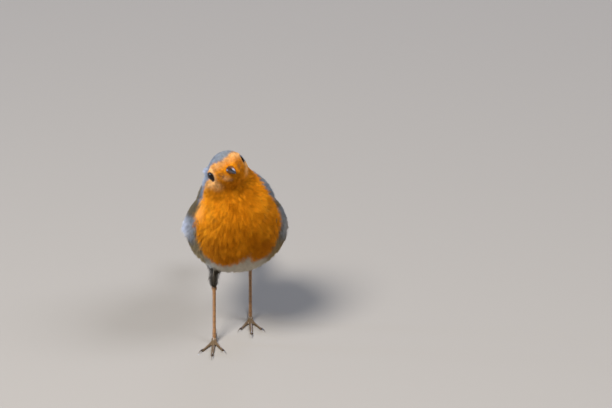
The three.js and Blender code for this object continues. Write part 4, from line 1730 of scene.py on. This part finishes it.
def tube(name, sides, rings):
    """A capped tube of unit size, and its points' shares along it and places in its section."""
    bpy.ops.mesh.primitive_cylinder_add(vertices=sides, radius=1, depth=1, end_fill_type="TRIFAN")
    piece = pick(bpy.context.object)
    piece.name = name
    bpy.ops.object.mode_set(mode="EDIT")
    bpy.ops.mesh.select_mode(type="EDGE")
    bpy.ops.mesh.select_all(action="DESELECT")
    bpy.ops.object.mode_set(mode="OBJECT")
    for edge in piece.data.edges:
        a, b = (piece.data.vertices[index].co.z for index in edge.vertices)
        edge.select = abs(a - b) > 0.5
    bpy.ops.object.mode_set(mode="EDIT")
    bpy.ops.mesh.subdivide(number_cuts=rings)
    bpy.ops.object.mode_set(mode="OBJECT")
    unit_points = points_of(piece)
    return piece, unit_points[:, 2] + 0.5, unit_points[:, :2]


claw_material = horn_material("claw_horn", HORN_BLACK, HORN_BROWN, CLAW_STREAK)
print("corners of a unit tube:", 2 + CLAW_SIDES * (CLAW_RINGS + 2))

# %% [markdown]
# ## Shaping the claws
# The arc runs from inside the toe, through the toe's end and a knee above the ground, to the
# claw's tip. Each ring of the tube is set square to it and gets thinner along it.

# %% Claws
TOES = ("inner", "middle", "outer", "hind")
CLAW_STATIONS = [1.0, 1.0, 0.82, 0.6, 0.36, 0.08]
CLAW_NARROWER = 0.72
NEAREST_TO_TOE = 12

for side in SIDES:
    made = []
    shin = node_points("tarsus_" + side)
    ankle = Vector(shin[np.argmin(shin[:, 2])])
    nodes = ["claw_" + side + "_" + toe for toe in TOES]
    for node in nodes:
        points = node_points(node)
        tip = farthest(points, ankle)
        nearest = np.argsort(np.linalg.norm(points - np.array(ankle), axis=1))
        base_points = points[nearest[:NEAREST_TO_TOE]]
        base = Vector(base_points.mean(axis=0))
        forward = Vector((tip.x - base.x, tip.y - base.y, 0)).normalized()
        length = (tip - base).length
        start = base - forward * CLAW_BURIED * MM
        knee = base + forward * length * 0.5 + Vector((0, 0, length * 0.3))
        radius = float(np.linalg.norm(base_points - np.array(base), axis=1).max())
        claw, share, section = tube("claw", CLAW_SIDES, CLAW_RINGS)
        t = share[:, None]
        u = 1 - t
        p0, p1, p2, p3 = (np.array(point) for point in (start, base, knee, tip))
        middle = u**3 * p0 + 3 * u**2 * t * p1 + 3 * u * t**2 * p2 + t**3 * p3
        slope = unit(3 * u**2 * (p1 - p0) + 6 * u * t * (p2 - p1) + 3 * t**2 * (p3 - p2))
        across = np.array(forward.cross(Vector((0, 0, 1))))
        up = np.cross(across, slope)
        thick = radius * stations(CLAW_STATIONS, share)[:, None]
        sideways = across * section[:, :1] * thick * CLAW_NARROWER
        places = middle + sideways + up * section[:, 1:] * thick
        places[:, 2] = np.maximum(places[:, 2], cad_low.z + 0.02 * MM)
        move_points(claw, places)
        made.append(claw)
    claws = join(made)
    claws.name = "claws_" + side
    edit_all(claws, bpy.ops.mesh.normals_make_consistent, inside=False)
    hand_over(claws, claw_material, "claw_horn", *nodes)
    print("claws", side, "faces:", len(claws.data.polygons))

# %% [markdown]
# ## Bill
# A robin's bill is slim and thrush-like: an upper half with a rounded ridge, a nostril near the
# face on each side and a slightly hooked tip, and a lower half that closes under it. Each half
# starts as a tube, as the claws did. Its section is flattened where the two halves meet, and its
# width and depth fall away towards the tip. Its horn is nearly black.

# %% Bill
BILL_BLACK = 0x0B0A0B
BILL_GREY = 0x201C1F
BILL_STREAK = 1.11
BILL_WIDTHS = [1.02, 1, 0.8, 0.6, 0.38, 0.08]
BILL_DEPTHS = [1.08, 1.04, 0.86, 0.68, 0.47, 0.1]
LOWER_SHORTER = 0.972
LOWER_NARROWER = 0.94
BILL_SIDES = 64
BILL_RINGS = 54
BILL_BASE = Vector((0, -8.4, -0.6))
BILL_BURIED = 4
BILL_TILT = math.radians(5)
BILL_WIDTH = 4.8
BILL_DEPTH = 4.0
GAPE = 0.06
CULMEN = 0.12
NOSTRIL_AT = 0.4
NOSTRIL_DEEP = 0.22


bill_material = horn_material("bill_horn", BILL_BLACK, BILL_GREY, BILL_STREAK)


def bill_half(name, is_upper):
    half, share, section = tube(name, BILL_SIDES, BILL_RINGS)
    wide = BILL_WIDTH / 2 * stations(BILL_WIDTHS, share)
    deep = BILL_DEPTH / 2 * stations(BILL_DEPTHS, share)
    across, upright = section[:, 0], section[:, 1]
    length = (BILL_LENGTH + BILL_BURIED) * (1 if is_upper else LOWER_SHORTER)
    hook = -0.45 * share**4
    if is_upper:
        height = np.maximum(upright, 0) ** 0.85 * deep * 1.08 + GAPE
        ridge = bump(across, 0, 0.3) * (upright > 0) * np.sin(np.pi * share) ** 0.5
        height = height + CULMEN * ridge
        hook = hook - 0.2 * smooth_step(share, 0.9, 1.0)
        into_nostril = bump(share, NOSTRIL_AT, 0.06) * bump(upright, 0.5, 0.3) * NOSTRIL_DEEP
        across = across * (1 - into_nostril)
    else:
        height = np.minimum(upright, 0) * deep * 0.9 - GAPE
        wide = wide * LOWER_NARROWER
    forward = share * length - BILL_BURIED
    cos_tilt, sin_tilt = math.cos(BILL_TILT), math.sin(BILL_TILT)
    lifted = height + hook
    back = -forward * cos_tilt - lifted * sin_tilt
    up = lifted * cos_tilt - forward * sin_tilt
    local = np.stack([across * wide, back, up], axis=1)
    move_points(half, moved(local + np.array(BILL_BASE), out_of_head))
    edit_all(half, bpy.ops.mesh.normals_make_consistent, inside=False)
    hand_over(half, bill_material, "bill_horn", name.replace("mandible_", "bill_"))
    print(name, "faces:", len(half.data.polygons))


bill_half("mandible_upper", True)
bill_half("mandible_lower", False)

# %% [markdown]
# ## Eyes
# A robin's eye is large and dark: a brown iris so deep that it looks black, a black pupil, and a
# wet, strongly curved cornea that mirrors the sky. A ball is made with its pole on the line of
# sight, the cornea is swelled out round the pole, and the distance from the pole is kept for the
# material. A clear coat gives the wet gloss.

# %% Eyes
CORNEA_SWELL = 0.06
PUPIL_RADIUS = 1.55
IRIS_RADIUS = 2.45
EYE_SET_BACK = 0.12
FIBRE_SIZE = 0.45
IRIS_BROWN = 0x130A06
IRIS_LIGHT = 0x22130B
EYE_BLACK = 0x040304

eye_material, eye_shader = new_material(
    "wet_eye", Roughness=0.5, Specular_IOR_Level=0.0, Coat_Weight=0.7, Coat_Roughness=0.02,
    Coat_IOR=1.376,
)
ring = add_node(eye_material, "ShaderNodeAttribute", attribute_name="iris")
ring = add_node(eye_material, "ShaderNodeSeparateColor", {"Color": ring.outputs["Color"]})
eye_place = add_node(eye_material, "ShaderNodeTexCoord").outputs["Object"]
fibres = {"Vector": eye_place, "Scale": 1 / (FIBRE_SIZE * MM), "Detail": 3.0}
fibres = add_node(eye_material, "ShaderNodeTexNoise", fibres).outputs["Fac"]
iris = {0: fibres, 6: linear(IRIS_BROWN), 7: linear(IRIS_LIGHT)}
iris = add_node(eye_material, "ShaderNodeMix", iris, **LAYER).outputs[2]
eye_colour = {0: ring.outputs["Red"], 6: linear(EYE_BLACK), 7: iris}
eye_colour = add_node(eye_material, "ShaderNodeMix", eye_colour, **LAYER)
link(eye_material, eye_colour.outputs[2], eye_shader, "Base Color")

for side in SIDES:
    bpy.ops.mesh.primitive_uv_sphere_add(segments=48, ring_count=32, radius=EYE_RADIUS * MM)
    eye = bpy.context.object
    eye.name = "eyeball_" + side
    ball = points_of(eye)
    to_pole = ball[:, 2] / (EYE_RADIUS * MM)
    swell = 1 + CORNEA_SWELL / EYE_RADIUS * smooth_step(to_pole, 0.72, 0.98)
    from_pole = np.where(to_pole > 0, np.linalg.norm(ball[:, :2], axis=1) / MM, 9)
    turn = np.array(gazes[side].to_track_quat("Z", "Y").to_matrix())
    turned = (ball * swell[:, None]) @ turn.T
    move_points(eye, turned + np.array(eye_places[side]) - gazes[side] * EYE_SET_BACK * MM)
    iris = smooth_step(from_pole, PUPIL_RADIUS - 0.12, PUPIL_RADIUS + 0.12)
    iris *= 1 - smooth_step(from_pole, IRIS_RADIUS - 0.15, IRIS_RADIUS + 0.15)
    store_colour(eye.data, "iris", np.stack([iris, iris * 0, iris * 0, iris * 0 + 1], axis=1))
    hand_over(eye, eye_material, "eye", "eye_" + side)
    print("eye", side, "faces:", len(eye.data.polygons))

# %% [markdown]
# ## Eyelids
# Round the eye runs a thin rim of bare, dark, finely beaded skin. It is a ring with an almond
# outline that rests on the ball, and it is joined to the skin, because it grows from it.

# %% Eyelids
LID_THICK = 0.2
LID_ALONG = 1.07
LID_ACROSS = 0.95
BEAD_SIZE = 0.286
LID_BLACK = 0x1E1916
LID_BROWN = 0x3C322B

lid_material, lid_shader = new_material("bare_lid_skin", Roughness=0.55, Specular_IOR_Level=0.4)
lid_place = add_node(lid_material, "ShaderNodeTexCoord").outputs["Object"]
beads = {"Vector": lid_place, "Scale": 1 / (BEAD_SIZE * MM)}
beads = add_node(lid_material, "ShaderNodeTexVoronoi", beads).outputs["Distance"]
lid_colour = {0: beads, 6: linear(LID_BLACK), 7: linear(LID_BROWN)}
lid_colour = add_node(lid_material, "ShaderNodeMix", lid_colour, **LAYER)
link(lid_material, lid_colour.outputs[2], lid_shader, "Base Color")
lid_bump = {"Height": beads, "Strength": 0.4, "Distance": 0.05 * MM}
lid_bump = add_node(lid_material, "ShaderNodeBump", lid_bump)
link(lid_material, lid_bump.outputs["Normal"], lid_shader, "Normal")
lids = []
for side in SIDES:
    gaze = gazes[side]
    bpy.ops.mesh.primitive_torus_add(
        major_segments=64, minor_segments=12, major_radius=LID_RADIUS * MM,
        minor_radius=LID_THICK * MM
    )
    lid = bpy.context.object
    lid.name = "lid_" + side
    along_lid = (head_back - gaze * head_back.dot(gaze)).normalized()
    up_lid = gaze.cross(along_lid)
    ring_points = points_of(lid) * np.array([LID_ALONG, LID_ACROSS, 1.0])
    rest_on = math.sqrt(EYE_RADIUS**2 - (LID_RADIUS - 0.1) ** 2) * MM
    axes = np.array([along_lid, up_lid, gaze])
    move_points(lid, ring_points @ axes + np.array(eye_places[side]) + np.array(gaze) * rest_on)
    lid.data.materials.append(lid_material)
    lid.data.shade_smooth()
    lids.append(lid)
join([skin, *lids])
print("skin with lids, faces:", len(skin.data.polygons))

# %% [markdown]
# ## Size of the visual model
# The visual model should keep the solid model's size, so both boxes are printed.

# %% Size of the visual model
low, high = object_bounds()
print("visual model, mm:", [round(v / MM, 1) for v in high - low])
